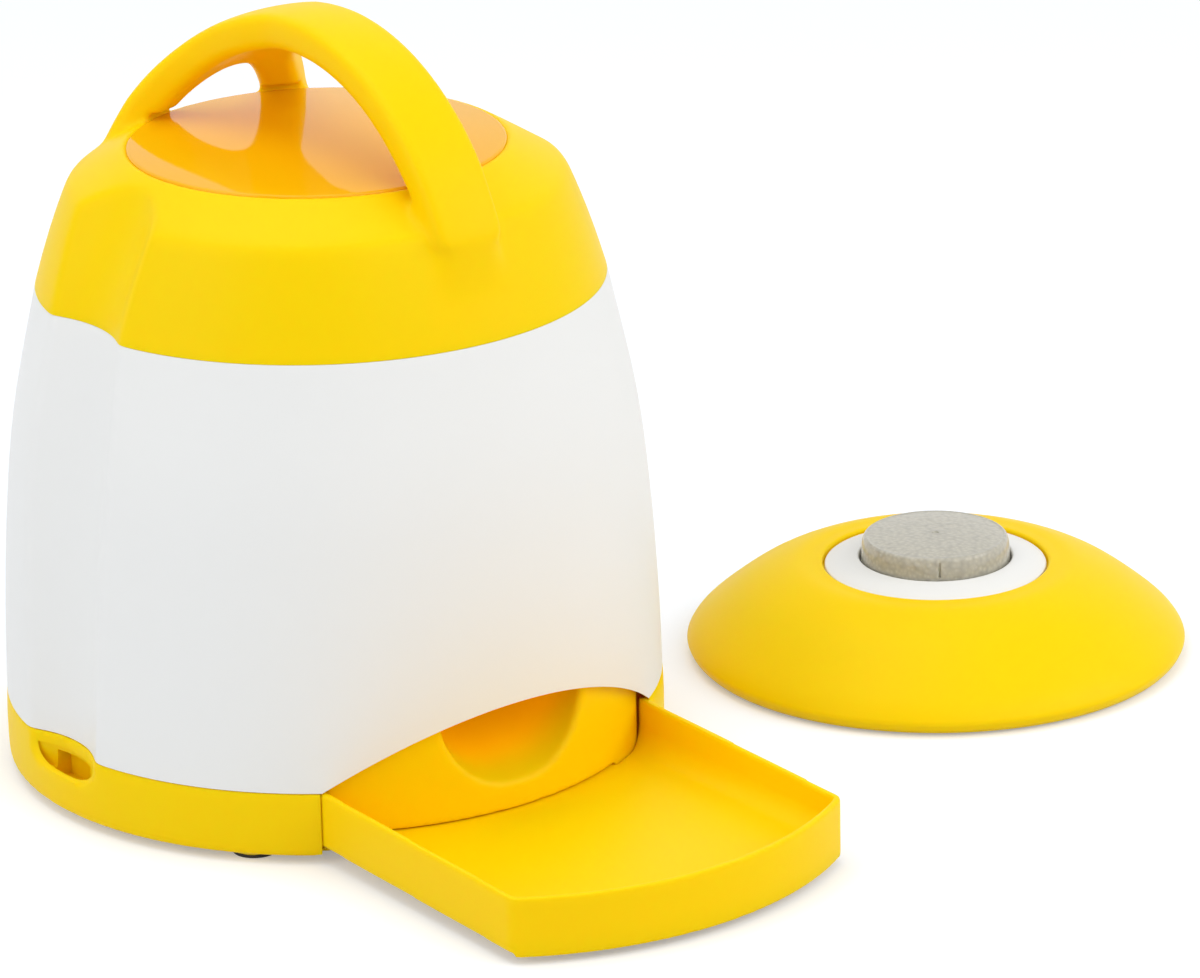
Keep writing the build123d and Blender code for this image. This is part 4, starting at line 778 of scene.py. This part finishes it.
class DISPENSER_OT_remote(PieceOperator, bpy.types.Operator):
    """Build the remote's dome and the white ring round its button"""

    bl_idname = "dispenser.remote"
    bl_label = "Remote"

    def execute(self, context):
        middle = box_middle("remote_case")
        side = smooth(REMOTE_SIDE, SIDE_STEPS)
        hole = 44.9
        lip = rounded((hole, 36.9), side[-1], (hole, 30), 1.1, 5)
        step = [(hole, 33.6), (40, 33.6), (40, 31.2)]
        inside = [(52, 33.4), (75, 25.2), (90, 12.5), (93.9, 8), (93.9, 1.2)]
        dome = turned("remote_dome", [*side, *lip, *step, *inside, side[0]], middle)
        dress(dome, yellow_plastic(), "remote", ["remote_case"])

        inner, outer, top, edge = 30.4, 44.0, 39.2, 35.7
        start = (inner + 2, edge - 2.4)
        outer_edge = rounded((outer, edge), (outer, 30), (inner, top), 0.6, 4)
        inner_edge = rounded((inner, top), (outer, edge), (inner, 30), 0.8, 5)
        web = [(inner, 27.5), (7, 27.5), (7, 25.5), (inner + 2, 25.5)]
        ring_line = [start, (outer, edge - 2.4), *outer_edge, *inner_edge, *web, start]
        ring = turned("button_ring", ring_line, middle)
        dress(ring, white_plastic(), "remote", ["remote_ring"])
        return {"FINISHED"}


class DISPENSER_OT_button(PieceOperator, bpy.types.Operator):
    """Build the frosted push button and its return spring"""

    bl_idname = "dispenser.button"
    bl_label = "Push button"

    def execute(self, context):
        middle = box_middle("push_cap")
        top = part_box("push_cap")[1].z / MM
        # radius, and height below the top
        face = [(0, 0.5), (1.1, 0.5), (1.5, 0), (14, 0.15), (23, 0.5), (26, 0.9)]
        rim = [(26.8, 0.95), (27.5, 0.8), (28.2, 1.2), (28.7, 2.0), (29.1, 3.6), (29.3, 5)]
        under = [(27.6, 4.6), (25, 2.6), (5, 2.4)]
        face, rim, under = ([(r, top - drop) for r, drop in line] for line in (face, rim, under))
        skirt = [(29.9, 31.1), (28.4, 31.1)]
        stem = [(5, 28.5), (0, 28.5)]
        cap = turned("push_button", [*face, *smooth(rim, 4), *skirt, *under, *stem], middle)
        mark = block("gate_mark", (-0.45, -29.9, top - 8.2), (0.45, -28.4, top - 2.4))
        pick(mark)
        bpy.ops.transform.rotate(value=radians(36), orient_axis="Z", center_override=(0, 0, 0))
        bpy.ops.transform.translate(value=(middle[0] * MM, middle[1] * MM, 0))
        bpy.ops.object.transform_apply()
        cut(cap, mark)
        dress(cap, frosted_plastic(), "button", ["push_cap"])

        # the spring stands on the remote, with a mesh of its own
        spring = moulding("cap_spring", "return_spring")
        dress(spring, slot_material("steel"), "remote", ["cap_spring"])
        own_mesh(spring)
        return {"FINISHED"}


# ---------------------------------------------------------------- materials of the inner parts
def metal(name, colour, roughness):
    """Bare metal with a coarser grain."""
    material = plastic(name, colour, roughness, drift=0.08, grain=0.6, grain_scale=900.0)
    material.node_tree.nodes["Principled BSDF"].inputs["Metallic"].default_value = 1.0
    return material


def slot_material(slot):
    """The material of a record slot."""
    makers = {
        "yellow_plastic": yellow_plastic,
        "white_plastic": white_plastic,
        "clear_window": window_plastic,
        "translucent_cap": frosted_plastic,
        "soft_rubber": lambda: plastic("pale rubber", (0.6, 0.6, 0.57), 0.7, 0.04, 0.8),
        "dark_rubber": lambda: plastic("dark rubber", (0.03, 0.028, 0.026), 0.75, 0.1, 0.8),
        "dark_plastic": lambda: plastic("dark plastic", (0.03, 0.03, 0.033), 0.5, 0.06, 0.7),
        "brass": lambda: metal("turned brass", (0.75, 0.55, 0.24), 0.32),
        "steel": lambda: metal("zinc plated steel", (0.62, 0.62, 0.63), 0.34),
        "cell_jacket": lambda: plastic("cell jacket", (0.1, 0.11, 0.13), 0.3, 0.05, 0.3),
        "circuit_board": lambda: plastic("circuit board", (0.02, 0.16, 0.06), 0.4, 0.25, 0.6, 900.0),
        "lamp_lens": lambda: plastic("lamp lens", (0.85, 0.9, 0.95), 0.15, 0.02, 0.2),
    }
    return makers[slot]()


class DISPENSER_OT_paint(PieceOperator, bpy.types.Operator):
    """Paint the nodes that keep their own shape"""

    bl_idname = "dispenser.paint"
    bl_label = "Paint inner parts"

    def execute(self, context):
        for part in frame["record"]["subparts"]:
            node = frame["nodes"][part["node"]]
            node.data.materials.clear()
            node.data.materials.append(slot_material(part["material_slot"]))
        return {"FINISHED"}


# ---------------------------------------------------------------- stage
class DISPENSER_OT_stage(PieceOperator, bpy.types.Operator):
    """Set up floor, light and camera"""

    bl_idname = "dispenser.stage"
    bl_label = "Stage"

    def execute(self, context):
        make_floor()
        make_world()
        make_lamps()
        make_camera()
        return {"FINISHED"}


def seen_directly(nodes, links):
    """1 for camera, mirror and glass rays, and 0 for the rays that carry light."""
    path = nodes.new("ShaderNodeLightPath")
    camera, mirror, glass = (
        path.outputs[f"Is {kind} Ray"] for kind in ("Camera", "Glossy", "Transmission")
    )
    either = math_node(nodes, links, "MAXIMUM", camera, mirror)
    return math_node(nodes, links, "MAXIMUM", either, glass)


def make_floor():
    """A wide pale floor that keeps the shadow of what stands on it."""
    bpy.ops.object.select_all(action="DESELECT")
    bpy.ops.mesh.primitive_plane_add(size=12, location=(0, 0, 0))
    floor = bpy.context.object
    floor.name = "floor"
    material, nodes, links, shader = new_material("pale floor")
    shader.inputs["Base Color"].default_value = (*colours().floor, 1)
    shader.inputs["Roughness"].default_value = 0.9
    shader.inputs["Specular IOR Level"].default_value = 0.1
    shader.inputs["Emission Color"].default_value = (1, 1, 1, 1)
    glow = math_node(nodes, links, "MULTIPLY", seen_directly(nodes, links), 0.3)
    links.new(glow, shader.inputs["Emission Strength"])
    floor.data.materials.append(material)


def make_world():
    """A soft grey light all round, seen as white."""
    world = bpy.data.worlds.new("soft studio")
    world.use_nodes = True
    nodes, links = world.node_tree.nodes, world.node_tree.links
    background = nodes["Background"]
    background.inputs["Color"].default_value = (1, 1, 1, 1)
    level = nodes.new("ShaderNodeMix")
    level.data_type = "FLOAT"
    links.new(seen_directly(nodes, links), level.inputs[0])
    level.inputs[2].default_value = 0.55
    level.inputs[3].default_value = 1.0
    links.new(level.outputs[0], background.inputs["Strength"])
    bpy.context.scene.world = world


def make_lamps():
    """Soft boxes: (name, place, aim, width, power)."""
    boxes = [
        ("top_box", (-0.3, 0.3, 2.2), (0, -0.05, 0.1), 1.8, 16.5),
        ("left_box", (-2.0, 0.1, 1.1), (0, 0, 0.12), 1.4, 11.0),
        ("right_box", (1.7, -1.6, 1.3), (0, 0, 0.1), 1.4, 15.0),
        ("front_box", (0.2, -1.9, 1.5), (0, -0.15, 0.04), 1.6, 11.0),
    ]
    for name, place, aim, width, power in boxes:
        bpy.ops.object.select_all(action="DESELECT")
        bpy.ops.object.light_add(type="AREA", location=place)
        lamp = bpy.context.object
        lamp.name = name
        lamp.data.size = width
        lamp.data.energy = power
        lamp.rotation_euler = (Vector(aim) - Vector(place)).to_track_quat("-Z", "Y").to_euler()


def make_camera():
    """A long lens in front, to the left and above."""
    heading, pitch, roll = radians(36.2), radians(-19.746), radians(-1.158)
    place = Vector((-1.2701, -1.9104, 0.9224))
    bpy.ops.object.select_all(action="DESELECT")
    bpy.ops.object.camera_add(location=place)
    camera = bpy.context.object
    camera.name = "view"
    camera.data.lens = 191.4
    camera.data.sensor_width = 36
    camera.data.clip_end = 50
    camera.data.dof.use_dof = False
    forward = Vector((sin(heading) * cos(pitch), cos(heading) * cos(pitch), sin(pitch)))
    level_right = forward.cross(Vector((0, 0, 1))).normalized()
    level_up = level_right.cross(forward)
    right = cos(roll) * level_right + sin(roll) * level_up
    up = right.cross(forward)
    camera.rotation_euler = Matrix((right, up, -forward)).transposed().to_euler()
    bpy.context.scene.camera = camera


class DISPENSER_PT_panel(bpy.types.Panel):
    """Sizes, colours and steps of the dispenser"""

    bl_idname = "DISPENSER_PT_panel"
    bl_label = "Treat Dispenser"
    bl_space_type = "VIEW_3D"
    bl_region_type = "UI"
    bl_category = "Dispenser"

    def draw(self, context):
        layout = self.layout
        for group in (context.scene.dispenser_sizes, context.scene.dispenser_colours):
            for key in group.bl_rna.properties.keys()[2:]:  # after rna_type and name
                layout.prop(group, key)
        for operator in OPERATORS:
            layout.operator(operator.bl_idname)


OPERATORS = [
    DISPENSER_OT_paint,
    DISPENSER_OT_lid,
    DISPENSER_OT_window,
    DISPENSER_OT_shell,
    DISPENSER_OT_base,
    DISPENSER_OT_remote,
    DISPENSER_OT_button,
    DISPENSER_OT_stage,
]
CLASSES = [DispenserSizes, DispenserColours, *OPERATORS, DISPENSER_PT_panel]


def register():
    for item in CLASSES:
        bpy.utils.register_class(item)
    bpy.types.Scene.dispenser_sizes = bpy.props.PointerProperty(type=DispenserSizes)
    bpy.types.Scene.dispenser_colours = bpy.props.PointerProperty(type=DispenserColours)


def unregister():
    del bpy.types.Scene.dispenser_colours
    del bpy.types.Scene.dispenser_sizes
    for item in reversed(CLASSES):
        bpy.utils.unregister_class(item)


def main():
    register()
    bpy.context.scene.view_settings.view_transform = "Standard"
    for operator in OPERATORS:
        group, name = operator.bl_idname.split(".")
        getattr(getattr(bpy.ops, group), name)()


if __name__ == "__main__":
    main()
